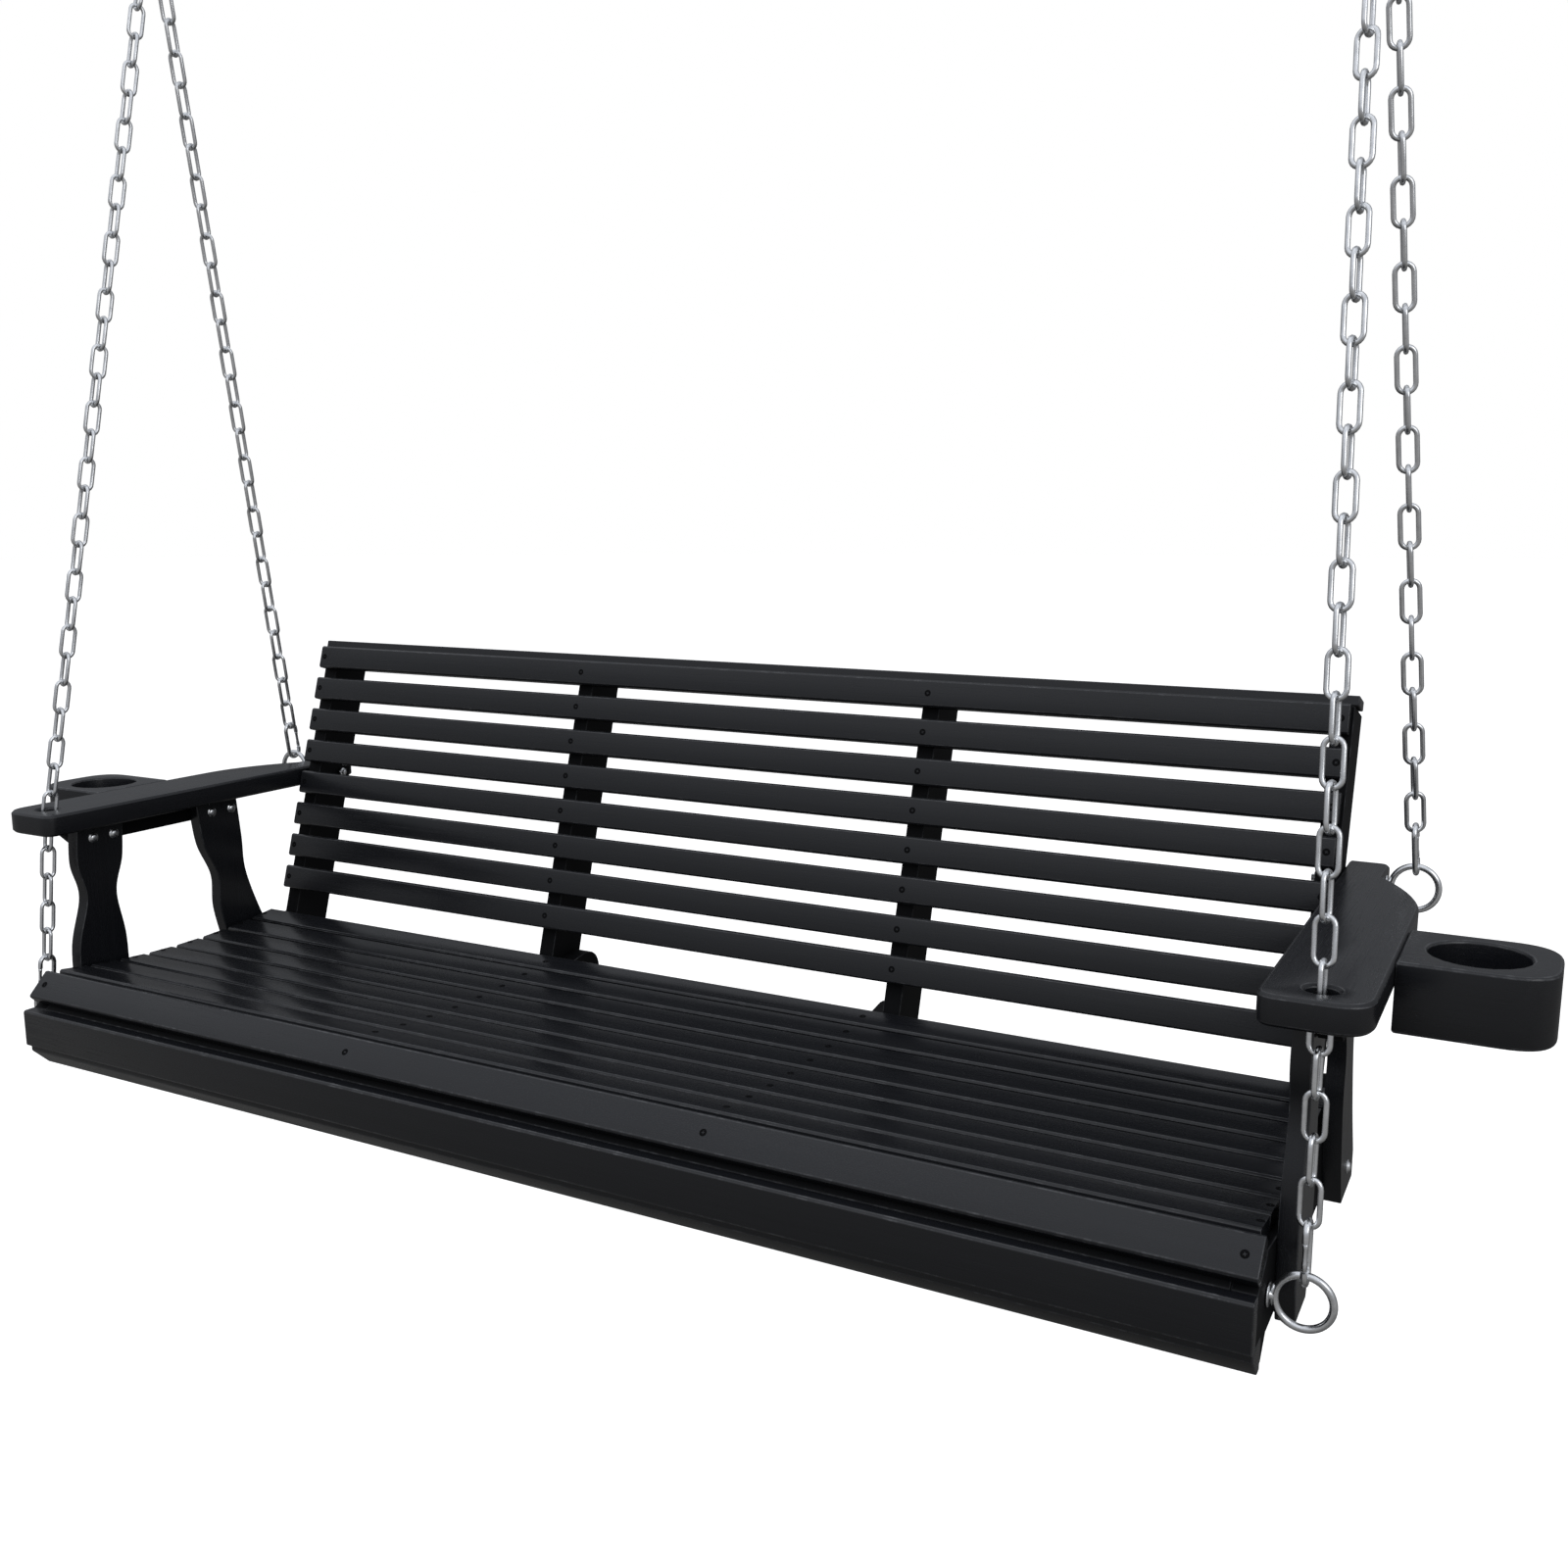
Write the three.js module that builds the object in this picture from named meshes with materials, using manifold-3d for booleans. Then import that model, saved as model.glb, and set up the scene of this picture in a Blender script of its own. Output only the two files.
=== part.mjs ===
/**
 * Porch swing: a slatted bench that hangs on four chains from two ceiling hangers.
 *
 * Millimetres, +Z up. The length of the bench runs along X, its front faces -Y and its back +Y.
 * Inside this file heights are measured from the seat, z = 0 being close to the middle of the seat's
 * dip. The exported group is lowered so that the row's origin lies on the ceiling, midway between the
 * two hangers.
 */
import * as THREE from 'three';
import { mergeVertices } from 'three/addons/utils/BufferGeometryUtils.js';
import Module from 'manifold-3d';

const wasm = await Module();
wasm.setup();

// ---------------------------------------------------------------- driving dimensions

/** Running gap kept between two pieces that touch. */
const GAP = 0.3;

const back = {
  length: 1500,        // length of a back slat
  slats: 8,
  slatWidth: 33.6,
  slatGap: 15,
  tilt: 16.75,         // degrees back from upright
  footY: 122.5,        // front face of the lowest slat, at its lower edge
  footZ: 50,
  postThickness: 23,
  postDepth: 63,
  postReveal: 3,       // end posts stand this much outside the slat ends
  postBelow: 130,      // length of post below the lowest slat
  midPostX: 271.6,     // outer face of the two middle posts
  capThickness: 11.5,
  capDepth: 36,
  capOverhang: 4,
};

/** How far a cutting tool runs past the wood it cuts. */
const OVERRUN = 5;

/** Straight pieces in each half of a curved edge, around a wire, a rod, a ring and a nut. */
const CURVE_STEPS = 10;
const WIRE_SIDES = 8;
const ROD_SIDES = 16;
const RING_STEPS = 28;
const HEXAGON = 6;

const slatThickness = 16;
const edgeEase = 2.2;  // small chamfer on the long edges of every slat

const seat = {
  slats: 8,
  slatWidth: 40.5,
  slatGap: 6,
  dipRadius: 1250,     // radius of the hollowed seat, seen from the side
  dipZ: 3,
  dipFromRear: 172,    // lowest point of the hollow, ahead of the rear edge
  slatEndMargin: 7,    // end frame left showing beyond a seat slat
  backClearance: 9,    // rear edge of the seat to the face of the back posts
};

const nose = {
  clearance: 0.5,      // open joint between the sloped slat and the first seat slat
  setUp: 2.4,
  angle: 45,
  fasciaForward: 9.4,  // face of the fascia ahead of the sloped slat
  fasciaDrop: 16,      // open slot between sloped slat and fascia
  fasciaHeight: 48,
  railHeight: 31,
  railDepth: 33,
  railSetBack: 7,
  railChamfer: 23,
  apronThickness: 12,  // upright board that closes the slot from behind, between the end frames
};

const frame = {
  thickness: 23,
  bottomZ: -80,
  frontFoot: 20,       // the frame reaches this much lower behind the front rail
  rearY: 205,
  rearRound: 34,
  hollowSteps: 14,     // straight facets that follow the hollow
  hollowFront: 1,      // the hollow starts this far behind the front of the first seat slat
  slatBedding: 0.5,    // extra room under the seat slats
  noseStepBack: 4,     // small step cut between the hollow and the sloped slat's bed
  noseStepDown: 6,
};

const arm = {
  topZ: 225.4,
  thickness: 28,
  frontWidth: 92,      // width at the wide front
  rearWidth: 44,       // width beside the back post
  frontY: -258,
  rearY: 281,
  flareY: 75,          // where the wide part starts to taper
  neckY: 212,          // where the taper ends
  corner: 12,          // round of the back end
  innerRound: 18,      // front corner beside the seat
  outerRound: 34,      // front corner beside the cup holder
  holeRadius: 14,
  holeFromFront: 36,
  holeBesidePost: 7,   // chain hole outside the outer face of the arm posts
  ease: 3,
};

const armPost = {
  thickness: 18,
  bottomZ: -88,
};

/**
 * Side profiles of the arm posts, waisted in front and S-shaped behind. Each pair is a distance behind
 * the post's top front corner and a distance below the arm. The foot's pairs are measured from the top
 * front corner and from the seat.
 */
const frontPost = {
  behindTip: 58,       // top front corner of the post behind the front of the arm
  frontEdge: [[-3, 50]],
  rearEdge: [[67, 50], [71, 0]],
  waist: [7, 54],      // front and rear edges at mid height
  hip: [-10, 64],
  hipBelowWaist: 66,
  footTopZ: -50,
  foot: [0, 53],
};
const rearPost = {
  behindTip: 253,
  frontEdge: [[9, 62], [31, 113], [32, 165]],
  rearEdge: [[110, 190], [83, 116], [79, 62], [73, 0]],
  ankle: [52, -45],
  heel: [144, -58],
  foot: [70, 146],
};

const cleat = {
  width: 22,
  height: 27,
  frontY: -198,
  rearY: 76,
  chamfer: 13,
};

const cup = {
  height: 66,
  holeRadius: 43,
  middleY: -53,
  armWall: 20,         // wood between the hole and the arm
  endWall: 24,         // wood beyond the hole at the round end
  sideWall: 16,        // wood in front of and behind the hole
  endRound: 44,
  ease: 2,
};

const eye = {
  ringRadius: 24,      // to the middle of the wire
  wireRadius: 3.5,
  shankRadius: 4,
  washerRadius: 11,
  washerThickness: 2,
  nutRadius: 7.4,
  nutThickness: 6,
  threadBeyondNut: 3,
  frontBehindNose: 19, // front eye behind the top corner of the sloped slat
  frontZ: -42,
  rearBehindPost: 46,  // rear eye behind the front face of the end post, measured level
};

const snap = {
  length: 54,          // end to end, to the middle of the wire
  width: 20,
  wireRadius: 3,
  gateRadius: 2.4,
  gateTop: 11,
  gateFoot: -13,
  hingeGap: 1.3,
  steps: 26,
};

const chain = {
  radius: 5,
  clearOfRing: 2.5,    // between the wire of the top ring and the end of the bar
  bentSteps: 10,
};

const hanger = {
  ringCentreZ: 1385,   // middle of the top ring above the seat
  x: 750,
  y: -0.4,             // directly above the centre of gravity of the bench
  ringRadius: 26.5,
  wireRadius: 3.5,
  barRadius: 4,
  legSpacing: 30,
  bend: 9,
  barBelowPlate: 22,
  plateLength: 96,
  plateWidth: 44,
  plateThickness: 6,
  screwSpacing: 72,
  screwRadius: 3.6,
  stapleSteps: 20,
  stapleSides: 12,
  stapleIntoPlate: 1,
};

// ---------------------------------------------------------------- materials

const paint = new THREE.MeshStandardMaterial({ color: 0x141517, roughness: 0.45, metalness: 0 });
const zinc = new THREE.MeshStandardMaterial({ color: 0xc9ccd0, roughness: 0.28, metalness: 1 });

// ---------------------------------------------------------------- helpers

const rad = THREE.MathUtils.degToRad;
const v2 = (a, b) => new THREE.Vector2(a, b);
const v3 = (x, y, z) => new THREE.Vector3(x, y, z);

/** The group that everything hangs in. */
const swing = new THREE.Group();

/** Adds a geometry to the model as one named piece. */
function addPiece(name, geometry, material) {
  const mesh = new THREE.Mesh(geometry, material.clone());
  mesh.name = name;
  swing.add(mesh);
  return mesh;
}

/** Turns a closed three.js geometry into a solid that can be cut and joined. */
function toSolid(geometry) {
  const bare = geometry.clone();
  bare.deleteAttribute('normal');
  bare.deleteAttribute('uv');
  const merged = mergeVertices(bare, 1e-4);
  return new wasm.Manifold(new wasm.Mesh({
    numProp: 3,
    vertProperties: new Float32Array(merged.attributes.position.array),
    triVerts: new Uint32Array(merged.index.array),
  }));
}

/** Turns a solid back into a three.js geometry. */
function toGeometry(solid) {
  const mesh = solid.getMesh();
  const geometry = new THREE.BufferGeometry();
  geometry.setAttribute('position', new THREE.BufferAttribute(mesh.vertProperties, 3));
  geometry.setIndex(new THREE.BufferAttribute(mesh.triVerts, 1));
  return geometry;
}

/** Cuts each of the tools out of a geometry. */
function cut(geometry, ...tools) {
  return toGeometry(tools.reduce((body, tool) => body.subtract(toSolid(tool)), toSolid(geometry)));
}

/** Joins overlapping geometries into one. */
function join(first, ...others) {
  return toGeometry(others.reduce((body, other) => body.add(toSolid(other)), toSolid(first)));
}

/** A board of a side profile drawn as (y, z), running along X from x0 to x1. */
function boardAlongX(outline, x0, x1) {
  const shape = outline instanceof THREE.Shape ? outline : new THREE.Shape(outline);
  const geometry = new THREE.ExtrudeGeometry(shape, {
    depth: x1 - x0,
    bevelEnabled: false,
    curveSegments: CURVE_STEPS,
  });
  geometry.applyMatrix4(new THREE.Matrix4().makeBasis(v3(0, 1, 0), v3(0, 0, 1), v3(1, 0, 0)));
  return geometry.translate(x0, 0, 0);
}

/** A plate of a plan outline drawn as (x, y), with eased edges, from z0 up to z1. */
function plate(shape, z0, z1, ease) {
  const geometry = new THREE.ExtrudeGeometry(shape, {
    depth: z1 - z0 - 2 * ease,
    bevelEnabled: ease > 0,
    bevelThickness: ease,
    bevelSize: ease,
    bevelOffset: -ease,
    bevelSegments: 1,
    curveSegments: CURVE_STEPS,
  });
  return geometry.translate(0, 0, z0 + ease);
}

/** A round rod along X. */
function rodAlongX(radius, x0, x1, y, z, sides = ROD_SIDES) {
  const rod = new THREE.CylinderGeometry(radius, radius, Math.abs(x1 - x0), sides);
  rod.rotateZ(Math.PI / 2);
  return rod.translate((x0 + x1) / 2, y, z);
}

/** A round wire of the given radius along a curve, with flat ends. */
function wire(curve, radius, steps, sides = WIRE_SIDES) {
  const section = new THREE.Shape();
  section.absarc(0, 0, radius, 0, 2 * Math.PI);
  return new THREE.ExtrudeGeometry(section, {
    steps,
    curveSegments: sides / 2,
    bevelEnabled: false,
    extrudePath: curve,
  });
}

/** The corners of a slat's section, (along, out) with its face at out = 0 and its body behind. */
function slatSection(width, thickness) {
  return [
    v2(0, -edgeEase),
    v2(edgeEase, 0),
    v2(width - edgeEase, 0),
    v2(width, -edgeEase),
    v2(width, -thickness),
    v2(0, -thickness),
  ];
}

/** Places section corners at an origin, along one direction and out along another, as (y, z). */
function placeSection(section, origin, along, out) {
  return section.map((p) => v2(
    origin.x + p.x * along.x + p.y * out.x,
    origin.y + p.x * along.y + p.y * out.y,
  ));
}

// ---------------------------------------------------------------- derived places

/** Direction up the back and direction square out of its face, as (y, z). */
const upBack = v2(Math.sin(rad(back.tilt)), Math.cos(rad(back.tilt)));
const outOfBack = v2(-Math.cos(rad(back.tilt)), Math.sin(rad(back.tilt)));
const backFoot = v2(back.footY, back.footZ);

/** A point of the back's side view, u up the slats and d behind their faces. */
function onBack(u, d) {
  return v2(
    backFoot.x + u * upBack.x - d * outOfBack.x,
    backFoot.y + u * upBack.y - d * outOfBack.y,
  );
}

/** Y of a plane parallel to the back, d behind the slat faces, at height z. */
function backPlaneY(d, z) {
  const foot = onBack(0, d);
  return foot.x + (z - foot.y) * Math.tan(rad(back.tilt));
}

const backPitch = back.slatWidth + back.slatGap;
const backTopU = (back.slats - 1) * backPitch + back.slatWidth;
const postFace = slatThickness + GAP;
const postOuterX = back.length / 2 + back.postReveal;

/** The hollow of the seat is an arc about this centre, seen from the side. */
const seatRearY = backPlaneY(postFace, seat.dipZ) - seat.backClearance;
const dip = v2(seatRearY - seat.dipFromRear, seat.dipZ + seat.dipRadius);

/** Angle of a point of the seat's arc, from its length along the arc behind the front edge. */
const rearAngle = Math.asin(seat.dipFromRear / seat.dipRadius);
const seatPitch = seat.slatWidth + seat.slatGap;
const seatDepth = (seat.slats - 1) * seatPitch + seat.slatWidth;
const seatAngle = (s) => rearAngle - (seatDepth - s) / seat.dipRadius;

/** A point of the seat's side view, s back from the front edge and d below the sitting face. */
function onSeat(s, d) {
  const a = seatAngle(s);
  const r = seat.dipRadius + d;
  return v2(dip.x + r * Math.sin(a), dip.y - r * Math.cos(a));
}

const frameInnerX = postOuterX + GAP;
const frameOuterX = frameInnerX + frame.thickness;
const armInnerX = frameInnerX;
const armPostX = frameOuterX + GAP;
const cleatX = armPostX + armPost.thickness + GAP;
const armUnderZ = arm.topZ - arm.thickness;
const armHole = v3(
  armPostX + armPost.thickness + arm.holeBesidePost,
  arm.frontY + arm.holeFromFront,
  arm.topZ - arm.thickness / 2,
);
const armOuterX = armInnerX + arm.frontWidth;
const armNeckX = armInnerX + arm.rearWidth;

const seatFront = onSeat(0, 0);

/** How far the first seat slat leans down towards the back, so its lower edge stands this much forward. */
const firstSlatLean = -seatAngle(seat.slatWidth / 2);
const noseForward = slatThickness * (Math.cos(rad(nose.angle)) + Math.sin(firstSlatLean)) + nose.clearance;
const noseTop = v2(seatFront.x - noseForward, seatFront.y + nose.setUp);
const downNose = v2(-Math.sin(rad(nose.angle)), -Math.cos(rad(nose.angle)));
const outOfNose = v2(-Math.cos(rad(nose.angle)), Math.sin(rad(nose.angle)));
const noseBottom = noseTop.clone().addScaledVector(downNose, seat.slatWidth);
const fasciaY = noseBottom.x - nose.fasciaForward;
const fasciaTopZ = noseBottom.y - nose.fasciaDrop;
const fasciaBottomZ = fasciaTopZ - nose.fasciaHeight;
const railY = fasciaY + nose.railSetBack;
const railTopZ = fasciaBottomZ - GAP;
const railBottomZ = railTopZ - nose.railHeight;
const fasciaBackY = fasciaY + slatThickness + GAP;

/** Height of the sloped slat's back, less the gap, at a place from front to back. */
function noseUndersideZ(y) {
  const back = noseTop.clone().addScaledVector(outOfNose, -slatThickness - GAP);
  return back.y - (back.x - y) / Math.tan(rad(nose.angle));
}

/** Middles of the eye bolts' shanks. */
const frontEyeY = noseTop.x + eye.frontBehindNose;
const rearEyeZ = arm.topZ - arm.thickness / 2;
const rearEyeY = backPlaneY(postFace, rearEyeZ) + eye.rearBehindPost;

// ---------------------------------------------------------------- back

/** Back slats, numbered from the top, screwed to the faces of the four posts. */
function buildBackSlats() {
  for (let i = 0; i < back.slats; i += 1) {
    const u = (back.slats - 1 - i) * backPitch;
    const flat = slatSection(back.slatWidth, slatThickness);
    const section = placeSection(flat, onBack(u, 0), upBack, outOfBack);
    const slat = boardAlongX(section, -back.length / 2, back.length / 2);
    addPiece(`back_slat_${i + 1}`, slat, paint);
  }
}

/** The narrow board that closes the tops of the posts. */
function buildTopCap() {
  const half = postOuterX + back.capOverhang;
  const low = backTopU + GAP;
  const high = low + back.capThickness;
  const outline = [
    onBack(low, slatThickness + GAP),
    onBack(low, slatThickness + back.capDepth),
    onBack(high, slatThickness + back.capDepth),
    onBack(high, slatThickness + GAP),
  ];
  addPiece('top_cap', boardAlongX(outline, -half, half), paint);
}

/** Inner and outer faces of the back posts, by name, as distances from the middle. */
const postRows = [
  { name: 'end', inner: postOuterX - back.postThickness, outer: postOuterX },
  { name: 'mid', inner: back.midPostX - back.postThickness, outer: back.midPostX },
];

/** The bore that a rear eye bolt passes through, on one side. */
function rearEyeBore(side) {
  return rodAlongX(
    eye.shankRadius + GAP,
    side * (postOuterX - back.postThickness - OVERRUN),
    side * (armNeckX + OVERRUN),
    rearEyeY,
    rearEyeZ,
  );
}

/** Four leaning posts: one at each end and two between, standing beside the seat frames. */
function buildBackPosts() {
  const outline = [
    onBack(-back.postBelow, postFace),
    onBack(-back.postBelow, postFace + back.postDepth),
    onBack(backTopU, postFace + back.postDepth),
    onBack(backTopU, postFace),
  ];
  for (const [side, sideName] of [[-1, 'left'], [1, 'right']]) {
    for (const row of postRows) {
      const x0 = Math.min(side * row.inner, side * row.outer);
      const board = boardAlongX(outline, x0, x0 + back.postThickness);
      const solid = row.name === 'end' ? cut(board, rearEyeBore(side)) : board;
      addPiece(`back_post_${row.name}_${sideName}`, solid, paint);
    }
  }
}

// ---------------------------------------------------------------- seat

/** Seat slats, numbered from the front, lying across the hollowed frames. */
function buildSeatSlats() {
  const half = frameOuterX - seat.slatEndMargin;
  for (let i = 0; i < seat.slats; i += 1) {
    const s = i * seatPitch;
    const start = onSeat(s, 0);
    const along = onSeat(s + seat.slatWidth, 0).sub(start).normalize();
    const out = v2(-along.y, along.x);
    const section = placeSection(slatSection(seat.slatWidth, slatThickness), start, along, out);
    addPiece(`seat_slat_${i + 1}`, boardAlongX(section, -half, half), paint);
  }
}

/** The sloped slat and the upright fascia that round off the front of the seat. */
function buildNose() {
  const narrow = slatSection(seat.slatWidth, slatThickness);
  const sloped = placeSection(narrow, noseTop, downNose, outOfNose);
  addPiece('nose_slat', boardAlongX(sloped, -frameOuterX, frameOuterX), paint);
  const tall = slatSection(nose.fasciaHeight, slatThickness);
  const fascia = placeSection(tall, v2(fasciaY, fasciaTopZ), v2(0, -1), v2(-1, 0));
  addPiece('front_fascia', boardAlongX(fascia, -frameOuterX, frameOuterX), paint);
}

/** The front rail under the fascia, with its lower front corner cut away. */
function buildFrontRail() {
  const outline = [
    v2(railY, railTopZ),
    v2(railY, railBottomZ + nose.railChamfer),
    v2(railY + nose.railChamfer, railBottomZ),
    v2(railY + nose.railDepth, railBottomZ),
    v2(railY + nose.railDepth, railTopZ),
  ];
  addPiece('front_rail', boardAlongX(outline, -frameOuterX, frameOuterX), paint);
}

/** The apron: it stands on the front rail, behind the fascia and up to the sloped slat. */
function buildFrontApron() {
  const rear = fasciaBackY + nose.apronThickness;
  const outline = [
    v2(fasciaBackY, noseUndersideZ(fasciaBackY)),
    v2(fasciaBackY, railTopZ + GAP),
    v2(rear, railTopZ + GAP),
    v2(rear, noseUndersideZ(rear)),
  ];
  const half = frameInnerX - GAP;
  addPiece('front_apron', boardAlongX(outline, -half, half), paint);
}

/** Side profile of a seat frame from its front edge: hollowed top, faceted nose and rounded rear end. */
function frameOutline(frontY) {
  const under = slatThickness + GAP;
  const railBack = railY + nose.railDepth + GAP;
  const noseBack = noseTop.clone().addScaledVector(outOfNose, -under);
  const shape = new THREE.Shape();
  shape.moveTo(frontY, noseUndersideZ(frontY));
  shape.lineTo(frontY, railTopZ + GAP);
  shape.lineTo(railBack, railTopZ + GAP);
  shape.lineTo(railBack, frame.bottomZ - frame.frontFoot);
  shape.lineTo(railBack + frame.frontFoot, frame.bottomZ);
  shape.lineTo(frame.rearY, frame.bottomZ);
  const rearTop = v2(frame.rearY - frame.rearRound, seatUndersideZ(frame.rearY - frame.rearRound));
  shape.lineTo(frame.rearY, rearTop.y - frame.rearRound);
  shape.quadraticCurveTo(frame.rearY, rearTop.y, rearTop.x, rearTop.y);
  const frontPoint = onSeat(frame.hollowFront, under);
  for (let i = 1; i <= frame.hollowSteps; i += 1) {
    const y = THREE.MathUtils.lerp(rearTop.x, frontPoint.x, i / frame.hollowSteps);
    shape.lineTo(y, seatUndersideZ(y));
  }
  const slack = (frontPoint.y - noseBack.y) - (frontPoint.x - noseBack.x) / Math.tan(rad(nose.angle));
  shape.lineTo(
    frontPoint.x - Math.max(slack, 0) / 2 - frame.noseStepBack,
    seatUndersideZ(frontPoint.x) - frame.noseStepDown,
  );
  return shape;
}

/** Height of the seat slats' underside, less the gap, at a place from front to back. */
function seatUndersideZ(y) {
  const r = seat.dipRadius + slatThickness + GAP;
  return dip.y - Math.sqrt(r * r - (y - dip.x) ** 2) - frame.slatBedding;
}

/** The bore that a front eye bolt passes through, on one side. */
function frontEyeBore(side) {
  const reach = eye.nutThickness + OVERRUN;
  return rodAlongX(
    eye.shankRadius + GAP,
    side * (frameInnerX - reach),
    side * (frameOuterX + reach),
    frontEyeY,
    eye.frontZ,
  );
}

/** Four seat frames: an end pair outside the end posts and a middle pair inside the middle posts. */
function buildSeatFrames() {
  const endOutline = frameOutline(fasciaBackY);
  const midOutline = frameOutline(fasciaBackY + nose.apronThickness + GAP);
  const midOuterX = back.midPostX - back.postThickness - GAP;
  for (const [side, sideName] of [[-1, 'left'], [1, 'right']]) {
    const endX = side > 0 ? frameInnerX : -frameOuterX;
    const end = boardAlongX(endOutline, endX, endX + frame.thickness);
    addPiece(`seat_frame_end_${sideName}`, cut(end, frontEyeBore(side)), paint);
    const midX = side > 0 ? midOuterX - frame.thickness : -midOuterX;
    addPiece(`seat_frame_mid_${sideName}`, boardAlongX(midOutline, midX, midX + frame.thickness), paint);
  }
}

// ---------------------------------------------------------------- arms

/** Plan outline of an arm: straight inner edge, wide front, tapered and narrow at the back. */
function armShape(side) {
  const shape = new THREE.Shape();
  const x = (value) => side * value;
  const c = arm.corner;
  shape.moveTo(x(armInnerX + arm.innerRound), arm.frontY);
  shape.lineTo(x(armOuterX - arm.outerRound), arm.frontY);
  shape.quadraticCurveTo(x(armOuterX), arm.frontY, x(armOuterX), arm.frontY + arm.outerRound);
  shape.lineTo(x(armOuterX), arm.flareY);
  shape.quadraticCurveTo(x(armOuterX), (arm.flareY + arm.neckY) / 2, x(armNeckX), arm.neckY);
  shape.lineTo(x(armNeckX), arm.rearY - c);
  shape.quadraticCurveTo(x(armNeckX), arm.rearY, x(armNeckX - c), arm.rearY);
  shape.lineTo(x(armInnerX), arm.rearY);
  shape.lineTo(x(armInnerX), arm.frontY + arm.innerRound);
  shape.quadraticCurveTo(x(armInnerX), arm.frontY, x(armInnerX + arm.innerRound), arm.frontY);
  shape.closePath();
  const opening = new THREE.Path();
  opening.absarc(x(armHole.x), armHole.y, arm.holeRadius, 0, 2 * Math.PI);
  shape.holes.push(opening);
  return shape;
}

/** Side profile of the front arm post: waisted at mid height. */
function frontPostOutline() {
  const top = armUnderZ - GAP;
  const y = arm.frontY + frontPost.behindTip;
  const waistZ = (top + seat.dipZ) / 2;
  const hipZ = waistZ - frontPost.hipBelowWaist;
  const below = ([behind, drop]) => v2(y + behind, top - drop);
  const [waistFront, waistRear] = frontPost.waist.map((behind) => v2(y + behind, waistZ));
  const [hipFront, hipRear] = frontPost.hip.map((behind) => v2(y + behind, hipZ));
  const shape = new THREE.Shape();
  shape.moveTo(y, top);
  shape.splineThru([
    ...frontPost.frontEdge.map(below),
    waistFront,
    hipFront,
    v2(hipFront.x, frontPost.footTopZ),
  ]);
  shape.lineTo(y + frontPost.foot[0], armPost.bottomZ);
  shape.lineTo(y + frontPost.foot[1], armPost.bottomZ);
  shape.lineTo(hipRear.x, frontPost.footTopZ);
  shape.splineThru([hipRear, waistRear, ...frontPost.rearEdge.map(below)]);
  return shape;
}

/** Side profile of the rear arm post: an S that leans back as it goes down. */
function rearPostOutline() {
  const top = armUnderZ - GAP;
  const y = arm.frontY + rearPost.behindTip;
  const below = ([behind, drop]) => v2(y + behind, top - drop);
  const [ankleBehind, ankleZ] = rearPost.ankle;
  const [heelBehind, heelZ] = rearPost.heel;
  const shape = new THREE.Shape();
  shape.moveTo(y, top);
  shape.splineThru([...rearPost.frontEdge.map(below), v2(y + ankleBehind, ankleZ)]);
  shape.lineTo(y + rearPost.foot[0], armPost.bottomZ);
  shape.lineTo(y + rearPost.foot[1], armPost.bottomZ);
  shape.lineTo(y + heelBehind, heelZ);
  shape.splineThru(rearPost.rearEdge.map(below));
  return shape;
}

/** Cup holder plan: square against the arm, rounded at its far end, with one large hole. */
function cupShape(side) {
  const x = (value) => side * value;
  const inner = armOuterX + GAP;
  const holeX = inner + cup.armWall + cup.holeRadius;
  const outer = holeX + cup.holeRadius + cup.endWall;
  const frontY = cup.middleY - cup.holeRadius - cup.sideWall;
  const rearY = cup.middleY + cup.holeRadius + cup.sideWall;
  const r = cup.endRound;
  const shape = new THREE.Shape();
  shape.moveTo(x(inner), frontY);
  shape.lineTo(x(outer - r), frontY);
  shape.quadraticCurveTo(x(outer), frontY, x(outer), frontY + r);
  shape.lineTo(x(outer), rearY - r);
  shape.quadraticCurveTo(x(outer), rearY, x(outer - r), rearY);
  shape.lineTo(x(inner), rearY);
  shape.closePath();
  const opening = new THREE.Path();
  opening.absarc(x(holeX), cup.middleY, cup.holeRadius, 0, 2 * Math.PI);
  shape.holes.push(opening);
  return shape;
}

/** The cleat under an arm, outside its posts, with its ends cut back. */
function cleatOutline() {
  const top = armUnderZ - GAP;
  const low = top - cleat.height;
  return [
    v2(cleat.frontY, top),
    v2(cleat.frontY, low + cleat.chamfer),
    v2(cleat.frontY + cleat.chamfer, low),
    v2(cleat.rearY - cleat.chamfer, low),
    v2(cleat.rearY, low + cleat.chamfer),
    v2(cleat.rearY, top),
  ];
}

/** Arms, their posts, cleats and cup holders, left and right. */
function buildArms() {
  for (const [side, name] of [[-1, 'left'], [1, 'right']]) {
    const top = plate(armShape(side), armUnderZ, arm.topZ, arm.ease);
    addPiece(`armrest_${name}`, cut(top, rearEyeBore(side)), paint);
    const holder = plate(cupShape(side), arm.topZ - cup.height, arm.topZ, cup.ease);
    addPiece(`cup_holder_${name}`, holder, paint);
    const postX = side > 0 ? armPostX : -armPostX - armPost.thickness;
    const front = boardAlongX(frontPostOutline(), postX, postX + armPost.thickness);
    addPiece(`arm_post_front_${name}`, front, paint);
    const rear = boardAlongX(rearPostOutline(), postX, postX + armPost.thickness);
    addPiece(`arm_post_rear_${name}`, rear, paint);
    const cleatStart = side > 0 ? cleatX : -cleatX - cleat.width;
    const bar = boardAlongX(cleatOutline(), cleatStart, cleatStart + cleat.width);
    addPiece(`arm_cleat_${name}`, bar, paint);
  }
}

// ---------------------------------------------------------------- hardware

/** Middle of the top ring on one side. */
function ringCentre(side) {
  return v3(side * hanger.x, hanger.y, hanger.ringCentreZ);
}

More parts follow.
